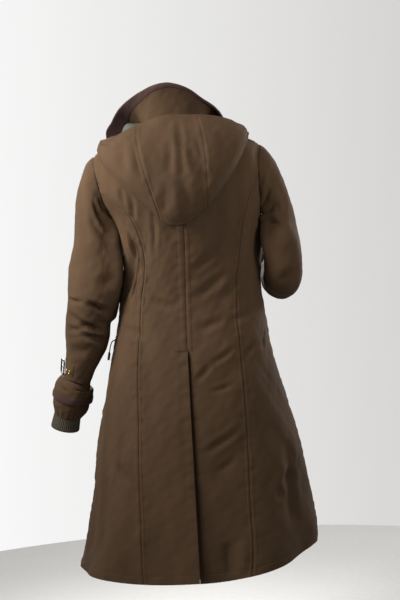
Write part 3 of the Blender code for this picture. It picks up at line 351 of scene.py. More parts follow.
# Seams: columns set close to each one so that its stitched edge shows, the profile's dents, grooves and
# raised allowance by distance from the seam, the rows between which a princess seam is stitched, and puckers.
SEAM_OFFSETS = np.array((0.0, 0.0007, 0.0014, 0.0022, 0.0030, 0.0050, 0.0075, 0.0088, 0.0095, 0.0102, 0.0125))
SEAM_STITCHES, SEAM_DENTS, SEAM_DENT_SPREAD, SEAM_SQUEEZE = (0.0022, 0.0095), (0.0004, 0.0003), 0.0009, 0.45
SEAM_GROOVE, SEAM_GROOVE_SPREAD, PRESSED_GROOVE, PRESSED_SPREAD = 0.0016, 0.0011, 0.0004, 0.0008
SEAM_RISE, SEAM_RISE_AT, SEAM_RISE_SPREAD = 0.0009, 0.0050, 0.0046
SEAM_STITCH_FOOT, SEAM_STITCH_TOP = 0.4, PRINCESS_TOP - 0.1
PUCKER_HEIGHT, PUCKER_REACH = 0.00035, 0.009
PUCKERS = ((0.0190, 0.3), (0.0270, 1.7), (0.0430, 4.0), (0.0610, 2.6))

# Hem: its stitching and turned-up edge, extra rows there, the angles that each row of stitches spans, the
# height of the lowest body row, and a row below all others.
HEM_STITCH, HEM_RISE, HEM_FADE, HEM_DENT, HEM_DENT_SPREAD = 0.020, 0.0006, 0.0008, 0.0006, 0.0010
HEM_PLACES = np.array((0.001, 0.0025, HEM_STITCH - 0.001, HEM_STITCH, HEM_STITCH + 0.001))
HEM_STITCH_ANGLES, HEM_ROW_HEIGHT = ((0.3, 24.0), (24.2, 92.0), (93.3, 178.0)), 0.0525
BELOW_HEM = -1.0

# A stitch: its size, then four rings along it with their places, girths and how far they sink into the cloth.
STITCH_LENGTH, STITCH_PITCH, STITCH_RADIUS, STITCH_SIDES = 0.0030, 0.0042, 0.00034, 5
STITCH_PLACES, STITCH_GIRTHS = np.array((0.0, 0.2, 0.8, 1.0)), np.array((0.35, 1.0, 1.0, 0.35))
STITCH_SINKS = np.array((0.9, 0.0, 0.0, 0.9))

# Grain of all materials: shares and detail of mottle and speckle, span of the blend, strength of the bump.
EVEN = (1.0, 1.0, 1.0)
MOTTLE_SHARE, GRAIN_SHARE, MOTTLE_DETAIL, GRAIN_DETAIL = 0.55, 0.45, 6.0, 3.0
RAMP_ENDS, RELIEF_STRENGTH = (0.30, 0.70), 0.5


# Curves and surfaces

def curve(keys, rows, at):
    """Smooth curve through table rows that stand at the given keys, read at one or more places."""
    keys, rows, at = np.asarray(keys, float), np.asarray(rows, float), np.asarray(at, float)
    index = np.clip(np.searchsorted(keys, at, side="right") - 1, 0, len(keys) - 2)
    slope = np.gradient(rows, keys, axis=0)
    span = keys[index + 1] - keys[index]
    t = ((at - keys[index]) / span)[..., None]
    span = span[..., None]
    return ((2 * t**3 - 3 * t**2 + 1) * rows[index] + (t**3 - 2 * t**2 + t) * span * slope[index]
            + (3 * t**2 - 2 * t**3) * rows[index + 1] + (t**3 - t**2) * span * slope[index + 1])


def unit(vectors):
    return vectors / np.linalg.norm(vectors, axis=-1, keepdims=True)


def bell(offset, spread=1.0, power=2):
    """Smooth hump of height 1 round an offset of 0."""
    return np.exp(-((offset / spread) ** power))


def bezier(t, start, leave, arrive, end):
    return (1 - t) ** 3 * start + 3 * (1 - t) ** 2 * t * leave + 3 * (1 - t) * t**2 * arrive + t**3 * end


def reach_along(line):
    """Length of a line of points from its start to each point."""
    return np.concatenate(((0,), np.cumsum(np.linalg.norm(np.diff(line, axis=0), axis=1))))


def crease_height(along, up, table, radius, step, lips=False, open_end=False):
    """Height of all soft ridges and troughs in a table at places on a surface rolled out flat.

    lips raises the cloth on both sides of a crease, and open_end keeps its full depth at the first end.
    """
    height = np.zeros(np.broadcast(along, up).shape)
    for angle_a, up_a, angle_b, up_b, width, depth in table:
        start = np.array((math.radians(angle_a) * radius, up_a * step))
        way = np.array((math.radians(angle_b) * radius, up_b * step)) - start
        across, rise = along - start[0], up - start[1]
        t = (across * way[0] + rise * way[1]) / (way @ way)
        swing = np.pi * np.clip(t, 0, 1)
        taper = np.cos(swing / 2) if open_end else np.sin(swing) ** CREASE_TAPER
        away = np.hypot(across - t * way[0], rise - t * way[1]) / width
        shape = bell(away)
        if lips:
            shape = bell(away, power=CREASE_POWER) - LIP_HEIGHT * bell(away - LIP_AT, LIP_SPREAD)
        height = height + depth * shape * taper
    return height


def ripple_height(along, up):
    """Slight unevenness of cloth at places on a surface rolled out flat."""
    return sum(size * np.sin(2 * np.pi * (a * along + b * up) + start) for a, b, start, size in RIPPLES)


def seam_height(distance):
    """Profile of a sewn seam: a groove, a raised seam allowance and two dented rows of stitching."""
    height = -SEAM_GROOVE * bell(distance, SEAM_GROOVE_SPREAD)
    height = height + SEAM_RISE * bell(distance - SEAM_RISE_AT, SEAM_RISE_SPREAD, 4)
    for stitch, dent in zip(SEAM_STITCHES, SEAM_DENTS):
        height = height - dent * bell(distance - stitch, SEAM_DENT_SPREAD)
    return height


def plain_seam_height(distance):
    """Profile of a pressed seam without topstitching."""
    return -PRESSED_GROOVE * bell(distance, PRESSED_SPREAD)


def section_point(angle, row):
    """Point of the smooth body, before folds."""
    size = dict(zip(SECTION_COLUMNS, np.moveaxis(curve(range(NECK + 1), SECTIONS, row), -1, 0)))
    sine, cosine = np.sin(np.radians(angle)), np.cos(np.radians(angle))
    is_left, is_back = sine >= 0, cosine >= 0
    x = np.where(is_left, size["left"], size["right"]) * np.sign(sine) * np.abs(sine) ** SQUARENESS
    y = np.where(is_back, size["back"], size["front"]) * np.sign(cosine) * np.abs(cosine) ** SQUARENESS
    z = (np.where(is_left, size["z_left"], size["z_right"]) * sine**2
         + np.where(is_back, size["z_back"], size["z_front"]) * cosine**2)
    return np.stack(np.broadcast_arrays(x, y, z), -1)


def section_normal(angle, row):
    turn, rise = 0.2, 0.002
    across = section_point(angle + turn, row) - section_point(angle - turn, row)
    up = section_point(angle, row + rise) - section_point(angle, row - rise)
    return unit(np.cross(up, across))


def centre_edge(row):
    return curve(CENTRE_SEAM[:, 0], CENTRE_SEAM[:, 1:], row)[..., 0]


def vent_height(angle, row, lap):
    """How far the two sides of the back vent stand out or in below its top."""
    away = angle - centre_edge(row)
    below_top = np.clip((VENT_TOP_ROW - row) / VENT_EDGE_ROWS, 0, 1)
    edge = VENT_EDGE * below_top * bell(away, VENT_EDGE_SPREAD)
    groove = VENT_GROOVE * below_top * bell(away, VENT_GROOVE_SPREAD)
    opened = np.clip((VENT_TOP_ROW - row) / VENT_TOP_ROW, 0, 1) ** VENT_BOW * bell(away, VENT_SPREAD)
    return np.where(lap > 0, VENT_LIFT * opened + edge, -(VENT_SINK * opened + edge + groove))


def body_point(angle, row, out=0.0, lap=None):
    """Point of the coat's body, moved out of the cloth's face. lap picks the side of the back vent."""
    angle, row = np.broadcast_arrays(np.asarray(angle, float), np.asarray(row, float))
    lap = np.sign(angle - centre_edge(row)) if lap is None else lap
    base = section_point(angle, row)
    place = (np.radians(angle) * FOLD_RADIUS, base[..., 2])
    folds = crease_height(*place, LARGE_FOLDS, FOLD_RADIUS, 1.0)
    folds = folds + crease_height(*place, HEM_FOLDS, FOLD_RADIUS, 1.0, open_end=True)
    folds = folds + crease_height(*place, FINE_FOLDS, FOLD_RADIUS, 1.0, lips=True)
    calm = np.clip((CALM_ROW - row) / CALM_ROWS, 0, 1)
    height = folds * calm + ripple_height(*place) + vent_height(angle, row, lap) + out
    return base + height[..., None] * section_normal(angle, row)


def degrees_for(length, angle, row):
    """Angle that a length takes up round the body at one place."""
    step = 0.5
    reach = np.linalg.norm(section_point(angle + step, row) - section_point(angle - step, row), axis=-1)
    return length * 2 * step / reach


def side_edge(row, towards_front):
    """Angle of the side seam, the armhole and the shoulder seam, from hem to neck."""
    middle, half = (ARMPIT + SHOULDER) / 2, (SHOULDER - ARMPIT) / 2
    swing = ARMHOLE_HALF_ANGLE * np.sqrt(np.clip(1 - ((row - middle) / half) ** 2, 0, 1))
    return ARMHOLE_ANGLE + (swing if towards_front else -swing)


def princess_edge(row, side):
    seam = curve(PRINCESS_SEAM[:, 0], PRINCESS_SEAM[:, 1:], row)
    return np.minimum(seam[..., 0 if side > 0 else 1], side_edge(row, False))


def arm_point(arm, angle, station, sizes=None):
    """Point on a ring of the arm. Angle 0 is the outer side, 90 the back and 180 the body's side."""
    step = 0.02
    stations = range(len(arm.rings))
    ring = curve(stations, arm.rings, station)
    ahead = curve(stations, arm.rings, station + step) - curve(stations, arm.rings, station - step)
    ahead = unit(ahead[..., :3])
    outward = np.array((arm.side, 0.0, 0.0))
    outer = unit(outward - (ahead @ outward)[..., None] * ahead)
    back = arm.side * np.cross(outer, ahead)
    half = ring[..., 3:] if sizes is None else sizes
    turn = np.radians(angle)
    return (ring[..., :3] + outer * (half[..., 0] * np.cos(turn))[..., None]
            + back * (half[..., 1] * np.sin(turn))[..., None])


def armhole_point(side, angle):
    """Point just inside the armhole's edge, where the sleeve is set in."""
    turn = np.radians(angle)
    row = (ARMPIT + SHOULDER) / 2 + SLEEVE_SETBACK * (SHOULDER - ARMPIT) / 2 * np.cos(turn)
    around = side * (ARMHOLE_ANGLE - SLEEVE_SETBACK * ARMHOLE_HALF_ANGLE * np.sin(turn))
    return body_point(around, row)


def sleeve_base(arm, angle, station):
    """Point of a smooth sleeve: its head up to station 0, then the arm's rings."""
    ring = arm_point(arm, angle, np.maximum(station, 0.0))
    t = np.clip(station - CAP_START, 0, 1)[..., None]
    swing = np.cos(np.radians(angle))[..., None]
    start = armhole_point(arm.side, angle)
    end = arm_point(arm, angle, np.zeros_like(station))
    ahead = unit(arm.rings[1, :3] - arm.rings[0, :3])
    outward = unit(np.array((arm.side * CAP_OUT, 0.0, CAP_DOWN)))
    leave = start + outward * (CAP_REACH_MEAN + CAP_REACH_SWING * swing)
    arrive = end - ahead * (CAP_HANG_MEAN + CAP_HANG_SWING * swing)
    return np.where((station < 0)[..., None], bezier(t, start, leave, arrive, end), ring)


def sleeve_point(arm, angle, station, out=0.0):
    """Point of a creased sleeve, moved out of the cloth's face."""
    angle, station = np.broadcast_arrays(np.asarray(angle, float), np.asarray(station, float))
    turn, step = 0.5, 0.01
    low, high = np.maximum(station - step, CAP_START), np.minimum(station + step, len(arm.rings) - 1.0)
    across = sleeve_base(arm, angle + turn, station) - sleeve_base(arm, angle - turn, station)
    down = sleeve_base(arm, angle, high) - sleeve_base(arm, angle, low)
    normal = arm.side * unit(np.cross(down, across))
    around = np.mod(angle, 360)
    place = (np.radians(around) * SLEEVE_RADIUS, station * STATION_LENGTH)
    folds = crease_height(*place, arm.creases, SLEEVE_RADIUS, STATION_LENGTH)
    folds = folds + crease_height(*place, arm.fine_creases, SLEEVE_RADIUS, STATION_LENGTH, lips=True)
    base = sleeve_base(arm, angle, station)
    uneven = ripple_height(base[..., 1] + base[..., 0], base[..., 2])
    uneven = uneven * np.clip((station - CAP_START) / CAP_CALM, 0, 1)
    height, middle = SWELL[arm.side]
    swell = height * bell(around - SWELL_ANGLE, SWELL_SPREAD) * bell(station - middle, SWELL_REACH, 4)
    return base + (folds + swell + uneven + out)[..., None] * normal


def collar_point(angle, share):
    """Outer face of the collar: share 0 is the neck seam and 1 the edge."""
    angle, share = np.broadcast_arrays(np.asarray(angle, float), np.asarray(share, float))
    size = dict(zip(COLLAR_COLUMNS, np.moveaxis(curve(COLLAR[:, 0], COLLAR, angle), -1, 0)))
    seam = section_point(angle, np.full_like(angle, NECK))
    edge = np.stack((size["edge_x"], size["edge_y"], size["edge_z"]), -1)
    out = unit((edge - seam) * np.array((1.0, 1.0, 0.0)))
    middle = seam + out * size["mid_out"][..., None] + np.array((0.0, 0.0, 1.0)) * size["mid_up"][..., None]
    bend = 2 * middle - (seam + edge) / 2
    t = share[..., None]
    return (1 - t) ** 2 * seam + 2 * (1 - t) * t * bend + t**2 * edge


def grid_normals(grid):
    """Normals of a grid with columns round the neck and rows up the outer face: they point in."""
    return unit(np.cross(np.gradient(grid, axis=1), np.gradient(grid, axis=0)))


def hood_grid(angles, shares, turn):
    """Outer face of the hood at angles for each row. Its rows run from the neck (share -1) down to the lowest
    fold (0), where they turn over, and up to the rim (1)."""
    size = dict(zip(HOOD_COLUMNS, np.moveaxis(curve(HOOD[:, 0], HOOD, angles), -1, 0)))
    full = size["fullness"][..., None]
    down = np.clip(shares + 1, 0, 1)[:, None]
    slack = HOOD_SLACK * bell(angles - SLACK_ANGLE, SLACK_ANGLE_SPREAD) * bell(down - SLACK_AT, SLACK_SPREAD)
    drop = size["foot_row"] - HOOD_TOP_ROW
    under = body_point(angles, HOOD_TOP_ROW + drop * down, HOOD_CLEARANCE + slack)
    normal = section_normal(angles, size["foot_row"])
    above = body_point(angles, size["foot_row"] - drop / HOOD_UNDER, HOOD_CLEARANCE)
    ahead = unit(body_point(angles, size["foot_row"], HOOD_CLEARANCE) - above)
    bend = (HOOD_FOLD_LEAST + HOOD_FOLD_MORE * full / HOOD[:, 2].max()) / 2
    turn = turn[:, None, None]
    start = under + bend * ((1 - np.cos(turn)) * normal + np.sin(turn) * ahead)
    rim = np.stack((size["rim_x"], size["rim_y"], size["rim_z"]), -1)
    low = start + HOOD_LOW_AT * (rim - start) + full * normal
    high = start + HOOD_HIGH_AT * (rim - start) + HOOD_HIGH_SWELL * full * normal
    t = np.clip(shares, 0, 1)[:, None, None]
    ridge = HOOD_RIDGE * bell(angles - HOOD_RIDGE_ANGLE, HOOD_RIDGE_SPREAD)[..., None]
    return bezier(t, start, low, high, rim) + ridge * np.sin(np.pi * t) * normal


# Materials

def node_material(name, colours, roughness, metallic=0.0, speckle=420.0, mottle=7.0, bump=0.0004, weave=EVEN,
                  streak=EVEN, shine=0.15):
    """Procedural cloth, metal or plastic: mottled colour, fine speckle and a bump of the same grain."""
    material = bpy.data.materials.new(name)
    material.use_nodes = True
    nodes, link = material.node_tree.nodes, material.node_tree.links.new
    shader = nodes["Principled BSDF"]
    shader.inputs["Metallic"].default_value = metallic
    shader.inputs["Specular IOR Level"].default_value = shine
    where = nodes.new("ShaderNodeTexCoord")

    def noise(scale, detail, stretch):
        place, pattern = nodes.new("ShaderNodeMapping"), nodes.new("ShaderNodeTexNoise")
        place.inputs["Scale"].default_value = stretch
        pattern.inputs["Scale"].default_value = scale
        pattern.inputs["Detail"].default_value = detail
        link(where.outputs["Object"], place.inputs["Vector"])
        link(place.outputs["Vector"], pattern.inputs["Vector"])
        return pattern.outputs["Fac"]

    share, both = nodes.new("ShaderNodeMath"), nodes.new("ShaderNodeMath")
    share.operation, both.operation = "MULTIPLY", "MULTIPLY_ADD"
    share.inputs[1].default_value, both.inputs[1].default_value = MOTTLE_SHARE, GRAIN_SHARE
    link(noise(mottle, MOTTLE_DETAIL, streak), share.inputs[0])
    link(noise(speckle, GRAIN_DETAIL, weave), both.inputs[0])
    link(share.outputs["Value"], both.inputs[2])
    ramp = nodes.new("ShaderNodeValToRGB")
    for element, position, colour in zip(ramp.color_ramp.elements, RAMP_ENDS, colours):
        element.position = position
        element.color = (*colour, 1.0)
    link(both.outputs["Value"], ramp.inputs["Fac"])
    link(ramp.outputs["Color"], shader.inputs["Base Color"])
    rough = nodes.new("ShaderNodeMapRange")
    rough.inputs["To Min"].default_value, rough.inputs["To Max"].default_value = roughness
    link(both.outputs["Value"], rough.inputs["Value"])
    link(rough.outputs["Result"], shader.inputs["Roughness"])
    relief = nodes.new("ShaderNodeBump")
    relief.inputs["Strength"].default_value = RELIEF_STRENGTH
    relief.inputs["Distance"].default_value = bump
    link(both.outputs["Value"], relief.inputs["Height"])
    link(relief.outputs["Normal"], shader.inputs["Normal"])
    return material


def make_materials():
    """Material of each slot: its two colours, its least and most roughness, then its grain."""
    return {
        "coat_cloth": node_material(
            "bark brushed cotton", ((0.0235, 0.0134, 0.0068), (0.0390, 0.0225, 0.0119)), (0.82, 0.95),
            speckle=900.0, mottle=26.0, weave=(1.0, 1.0, 0.45), streak=(1.0, 1.0, 0.14), bump=0.0005,
            shine=0.06),
        "plum_moleskin": node_material(
            "plum moleskin", ((0.0205, 0.0098, 0.0086), (0.0310, 0.0152, 0.0133)), (0.88, 0.98),
            speckle=700.0, bump=0.0005),
        "rib_knit": node_material(
            "olive rib knit", ((0.0280, 0.0226, 0.0150), (0.0450, 0.0370, 0.0260)), (0.90, 0.98),
            speckle=600.0, weave=(1.0, 1.0, 0.5), bump=0.0008),
        # The lining's own colour is sage, and both its colours are darkened beyond that tone: painted shade
        # for the shaded mouth of the hood.
        "sage_lining": node_material(
            "sage lining with painted shade", ((0.022, 0.025, 0.019), (0.036, 0.040, 0.031)), (0.60, 0.75),
            speckle=1100.0, bump=0.0002),
        "dark_metal": node_material(
            "dark metal", ((0.010, 0.010, 0.010), (0.026, 0.026, 0.025)), (0.30, 0.48),
            metallic=0.7, speckle=300.0, bump=0.0001, shine=0.5),
        "brass": node_material(
            "brass", ((0.200, 0.125, 0.040), (0.290, 0.190, 0.066)), (0.22, 0.40),
            metallic=1.0, speckle=260.0, bump=0.0001, shine=0.5),
        "black_cord": node_material(
            "black braid", ((0.006, 0.006, 0.007), (0.016, 0.016, 0.018)), (0.60, 0.80), speckle=800.0),
        "cord_end": node_material(
            "black moulded", ((0.006, 0.006, 0.007), (0.014, 0.014, 0.015)), (0.35, 0.50),
            speckle=500.0, bump=0.0001, shine=0.5),
    }


# Pieces

def put(name, data):
    """New object in the scene."""
    thing = bpy.data.objects.new(name, data)
    bpy.context.scene.collection.objects.link(thing)
    return thing


def add_piece(name, data, slot, *nodes):
    """Puts a mesh or curve in the scene as a piece that stands for the named solids."""
    piece = put(name, data)
    data.materials.append(MATERIALS[slot])
    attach(piece, "root")
    if nodes:
        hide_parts(*nodes)
    return piece


def signed_volume(points, quads):
    a, b, c, d = (points[quads[:, k]] for k in range(4))
    return (np.einsum("ij,ij->i", a, np.cross(b, c)) + np.einsum("ij,ij->i", a, np.cross(c, d))).sum() / 6


def mesh_of(name, points, faces, sharp=None):
    """Smooth mesh that keeps edges of more than the sharp angle."""
    data = bpy.data.meshes.new(name)
    data.from_pydata(points.tolist(), [], faces)
    data.shade_smooth()
    if sharp:
        data.set_sharp_from_angle(angle=math.radians(sharp))
    return data


def ring_faces(before, after):
    """Faces between rings of points and the next ones."""
    quads = np.stack((before, np.roll(before, -1, -1), np.roll(after, -1, -1), after), -1)
    return quads.reshape(-1, 4).tolist()


def shell(name, outer, inner, slot, closed=False):
    """Thin sheet of cloth between two grids of points."""
    rows, columns = outer.shape[:2]
    count = rows * columns
    points = np.concatenate((outer.reshape(-1, 3), inner.reshape(-1, 3)))
    index = np.arange(count).reshape(rows, columns)
    if closed:
        index = np.concatenate((index, index[:, :1]), axis=1)
    quads = np.stack((index[:-1, :-1], index[:-1, 1:], index[1:, 1:], index[1:, :-1]), -1).reshape(-1, 4)
    borders = [index[0], index[-1][::-1]]
    if not closed:
        borders += [index[:, -1], index[:, 0][::-1]]
    rims = [np.stack((line[1:], line[:-1], line[:-1] + count, line[1:] + count), -1) for line in borders]
    faces = np.concatenate([quads, quads[:, ::-1] + count] + rims)
    if signed_volume(points, faces) < 0:
        faces = faces[:, ::-1]
    piece = add_piece(f"{name}_cloth", mesh_of(name, points, faces.tolist(), SHELL_SHARP), slot, name)


def stitches(name, lines):
    """Rows of short raised stitches. Each line is a pair: points along it and the way out of the cloth."""
    turn = np.arange(STITCH_SIDES) * 2 * np.pi / STITCH_SIDES
    points, faces = [], []
    for line, out in lines:
        reach = reach_along(line)
        starts = np.arange(0, reach[-1] - STITCH_LENGTH, STITCH_PITCH)
        places = starts[:, None] + STITCH_LENGTH * STITCH_PLACES
        middle = np.stack([np.interp(places, reach, line[:, k]) for k in range(3)], -1)
        up = unit(np.stack([np.interp(places, reach, out[:, k]) for k in range(3)], -1))
        along = unit(middle[:, -1:] - middle[:, :1])
        across = unit(np.cross(up, along))
        ring = np.cos(turn)[:, None] * across[:, :, None] + np.sin(turn)[:, None] * up[:, :, None]
        ring = ring * (STITCH_RADIUS * STITCH_GIRTHS)[None, :, None, None]
        sink = (STITCH_RADIUS * STITCH_SINKS)[None, :, None, None]
        tube = middle[:, :, None] - up[:, :, None] * sink + ring
        base = sum(len(p) for p in points)
        points.append(tube.reshape(-1, 3))
        index = base + np.arange(tube.size // 3).reshape(tube.shape[:3])
        faces += ring_faces(index[:, :-1], index[:, 1:])
        faces += index[:, 0, ::-1].tolist() + index[:, -1].tolist()
    add_piece(name, mesh_of(name, np.concatenate(points), faces), "coat_cloth")


def seam_columns(width, inside):
    """Places across a panel, close together by both seams and even between. One row for each given width."""
    squeeze = np.minimum(1.0, SEAM_SQUEEZE * width / SEAM_OFFSETS[-1])[:, None]
    near = SEAM_OFFSETS * squeeze
    middle = np.linspace(0, 1, inside + 1)[1:-1] * (width[:, None] - 2 * near[:, -1:]) + near[:, -1:]
    return np.concatenate((near, middle, width[:, None] - near[:, ::-1]), axis=1)


def body_rows(low, high):
    """Row numbers a cell apart up the centre back, with extra ones at the hem's stitching."""
    fine = np.linspace(0, NECK, BODY_SAMPLES)
    reach = reach_along(section_point(np.zeros_like(fine), fine))
    start, end = np.interp((low, high), fine, reach)
    places = np.linspace(start, end, int((end - start) / CELL))
    if low == HEM:
        places = np.unique(np.concatenate((places, HEM_PLACES)))
    return np.interp(places, reach, fine), places - start


def hem_height(reach):
    """Turned-up hem: a little thicker, with one dented row of stitching."""
    return (HEM_RISE / (1 + np.exp((reach - HEM_STITCH) / HEM_FADE))
            - HEM_DENT * bell(reach - HEM_STITCH, HEM_DENT_SPREAD))


def pucker_height(distance, reach):
    """Small uneven puckers that sewing draws up beside a seam."""
    waves = sum(np.sin(2 * np.pi * reach / length + start) for length, start in PUCKERS)
    return PUCKER_HEIGHT * waves * bell(distance - PUCKER_REACH, PUCKER_REACH)


def body_panel(name, rows, reach, edges, lap, sewn_above):
    """Panel of the body between two edges, each an angle for every row.

    sewn_above gives the row above which each edge is sewn, or None for an edge that is not.
    """
    per_metre = degrees_for(1.0, (edges[0] + edges[1]) / 2, rows)
    width = (edges[1] - edges[0]) / per_metre
    across = seam_columns(width, int(np.max(width) / CELL))
    angle = edges[0][:, None] + across * per_metre[:, None]
    row = rows[:, None] + 0 * angle
    height = hem_height(reach)[:, None] + 0 * angle
    for distance, above in zip((across, width[:, None] - across), sewn_above):
        if above is not None:
            height = height + pucker_height(distance, reach[:, None]) + seam_height(distance) * (row > above)
    inner = np.minimum(height, 0.0) - SHELL
    shell(name, body_point(angle, row, height, lap), body_point(angle, row, inner, lap), "coat_cloth")


def body_line(angle, row, lap, out=0.0):
    """Line on the body's cloth for stitching, with the way out of the cloth."""
    return body_point(angle, row, out, lap), section_normal(angle, row)


def make_body():
    rows, reach = body_rows(HEM, NECK_EDGE_ROW)
    every, low = slice(None), rows <= PRINCESS_TOP
    lines = []
    for way, label in ((1, "left"), (-1, "right")):
        seam, side = princess_edge(rows, way), side_edge(rows, False)

        def panel(name, keep, inner, outer, sewn_above):
            edges = (inner[keep], outer[keep]) if way > 0 else (-outer[keep], -inner[keep])
            body_panel(f"{name}_{label}", rows[keep], reach[keep], edges, way, sewn_above[::way])

        panel("back", every, way * centre_edge(rows), np.where(low, seam, side), (VENT_TOP_ROW, BELOW_HEM))
        panel("side_back", low, seam, side, (BELOW_HEM, BELOW_HEM))
        panel("front", every, side_edge(rows, True), np.full_like(rows, FRONT), (BELOW_HEM, None))
        sewn = rows[(rows > SEAM_STITCH_FOOT) & (rows < SEAM_STITCH_TOP)]
        for offset in SEAM_STITCHES:
            line = princess_edge(sewn, way) - degrees_for(offset, princess_edge(sewn, way), sewn)
            lines.append(body_line(way * line, sewn, way))
        for first, last in HEM_STITCH_ANGLES:
            angle = np.linspace(first, last, LINE_POINTS) * way
            lines.append(body_line(angle, np.full_like(angle, HEM_STITCH / HEM_ROW_HEIGHT), way))
    vent = np.linspace(VENT_STITCH_FOOT, VENT_TOP_ROW, VENT_POINTS)
    lines.append(body_line(centre_edge(vent) + degrees_for(VENT_STITCH, 0.0, vent), vent, 1))
    bar = np.linspace(VENT_BAR_START, degrees_for(VENT_BAR, 0.0, VENT_TOP_ROW), VENT_BAR_POINTS)
    bar = centre_edge(VENT_TOP_ROW) + bar
    for lift in VENT_BAR_LIFTS:
        lines.append(body_line(bar, np.full_like(bar, VENT_TOP_ROW + lift), 1, VENT_BAR_OUT))
    stitches("body_stitching", lines)


def make_vent_underlap():
    rows = body_rows(HEM, VENT_TOP_ROW)[0][UNDERLAP_SKIP:]
    tuck, width = degrees_for(UNDERLAP_TUCK, 0.0, rows), degrees_for(UNDERLAP_WIDTH, 0.0, rows)
    share = np.linspace(0, 1, UNDERLAP_COLUMNS)
    angle = centre_edge(rows)[:, None] - tuck[:, None] * (1 - share) + width[:, None] * share
    row = rows[:, None] + 0 * angle
    face = -CLOTH - LAYER_GAP
    inner = body_point(angle, row, face - SHELL, -1)
    shell("vent_underlap", body_point(angle, row, face, -1), inner, "coat_cloth")


def make_front_fly():
    rows = body_rows(FLY_FOOT_ROW, FLY_TOP_ROW)[0]
    top = CLOTH + LAYER_GAP
    left = FRONT - degrees_for(FLY_LEFT, FRONT, rows)
    right = FRONT + degrees_for(FLY_RIGHT, FRONT, rows)
    by_edge = np.linspace(0, FLY_EDGE_SHARE, FLY_EDGE_COLUMNS)
    between = np.linspace(FLY_EDGE_SHARE, 1 - FLY_EDGE_SHARE, FLY_COLUMNS)[1:-1]
    share = np.concatenate((by_edge, between, 1 - by_edge[::-1]))
    angle = left[:, None] * (1 - share) + right[:, None] * share
    row = rows[:, None] + 0 * angle
    edge = np.minimum(share, 1 - share) * (FLY_LEFT + FLY_RIGHT)
    height = top - FLY_DENT * bell(edge - FLY_STITCH, FLY_DENT_SPREAD)
    shell("front_fly", body_point(angle, row, height), body_point(angle, row, LAYER_GAP), "coat_cloth")
    inset = degrees_for(FLY_STITCH, FRONT, rows)
    lines = [body_line(at, rows, np.sign(at), top - FLY_STITCH_SINK) for at in (left + inset, right - inset)]
    stitches("fly_stitching", lines)
    for number, row in enumerate(BUTTON_ROWS, 1):
        make_button(number, row)


def lathe(name, profile, radius, half, axis, sides):
    """Turned mesh. The profile's pairs are shares of the radius and of half the height.

    axis is the small radius at which both ends close.
    """
    turn = np.arange(sides) * 2 * np.pi / sides
    outline = [(axis, profile[0][1] * half)]
    outline += [(r * radius, h * half) for r, h in profile]
    outline += [(axis, profile[-1][1] * half)]
    rings = [[(r * math.cos(t), r * math.sin(t), h) for t in turn] for r, h in outline]
    points = np.array(rings).reshape(-1, 3)
    index = np.arange(len(points)).reshape(len(outline), sides)
    faces = ring_faces(index[:-1], index[1:]) + [index[0, ::-1].tolist(), index[-1].tolist()]
    return mesh_of(name, points, faces, LATHE_SHARP)


def stand(data, point, normal, up=Vector((0, 0, 1))):
    """Moves a mesh to a point with its own Z along the normal and its Y as near up as can be."""
    normal = Vector(normal).normalized()
    across = up.cross(normal).normalized()
    turn = Matrix((across, normal.cross(across), normal)).transposed()
    data.transform(Matrix.LocRotScale(Vector(point), turn, None))


def make_button(number, row):
    angle, height = np.array(BUTTON_ANGLE), np.array(float(row))
    half = BUTTON_HEIGHT / 2
    data = lathe(f"button_{number}", BUTTON_PROFILE, BUTTON_RADIUS, half, BUTTON_AXIS, BUTTON_SIDES)
    out = CLOTH + LAYER_GAP + 2 * SEAM_GAP + half
    stand(data, body_point(angle, height, out), section_normal(angle, height))
    add_piece(f"button_{number}_turned", data, "dark_metal", f"button_{number}")


def sleeve_stations(arm):
    """Stations a little closer than a cell down the sleeve, and the length down to each."""
    fine = np.linspace(CAP_START, HEM_STATION, SLEEVE_SAMPLES)
    path = curve(range(len(arm.rings)), arm.rings[:, :3], np.maximum(fine, 0))
    in_head = HEAD_LENGTH / SLEEVE_SAMPLES * (HEM_STATION - CAP_START)
    step = np.linalg.norm(np.diff(path, axis=0), axis=1) + np.where(fine[1:] <= 0, in_head, 0)
    reach = np.concatenate(((0,), np.cumsum(step)))
    places = np.linspace(0, reach[-1], int(reach[-1] / CELL * SLEEVE_FINENESS))
    return np.interp(places, reach, fine), places


def make_sleeve(arm):
    stations, reach = sleeve_stations(arm)
    head = -HEAD_GROOVE * bell(reach, HEAD_GROOVE_SPREAD)
    eased = EASE * np.exp(-reach / EASE_FADE) * (1 - np.exp(-reach / EASE_START))
    for name, first, last in (("top", -SLEEVE_SEAM, SLEEVE_SEAM), ("under", SLEEVE_SEAM, 360 - SLEEVE_SEAM)):
        width = math.radians(last - first) * SLEEVE_RADIUS
        across = seam_columns(np.array((width,)), int(width / CELL))[0]
        angle, station = np.meshgrid(first + np.degrees(across / SLEEVE_RADIUS), stations)
        sewn = plain_seam_height(across) + plain_seam_height(width - across)
        height = sewn[None, :] * np.clip(reach / HEAD_SEAM_FADE, 0, 1)[:, None] + head[:, None]
        height = height + np.cos(np.radians(angle) * EASE_WAVES) * eased[:, None]
        outer = sleeve_point(arm, angle, station, height)
        inner = sleeve_point(arm, angle, station, np.minimum(height, 0.0) - SHELL)
        tuck = inner[:1] - ALLOWANCE * unit(outer[1:2] - outer[:1])
        tuck_inner = tuck - (outer[:1] - inner[:1])
        outer, inner = np.concatenate((tuck, outer)), np.concatenate((tuck_inner, inner))
        shell(f"sleeve_{name}_{arm.label}", outer, inner, "coat_cloth")


def rolled(share, least, more):
    """Height of a binding across its width, which swells to the middle."""
    return FACING * (least + more * np.sqrt(np.clip(4 * share * (1 - share), 0, 1)))


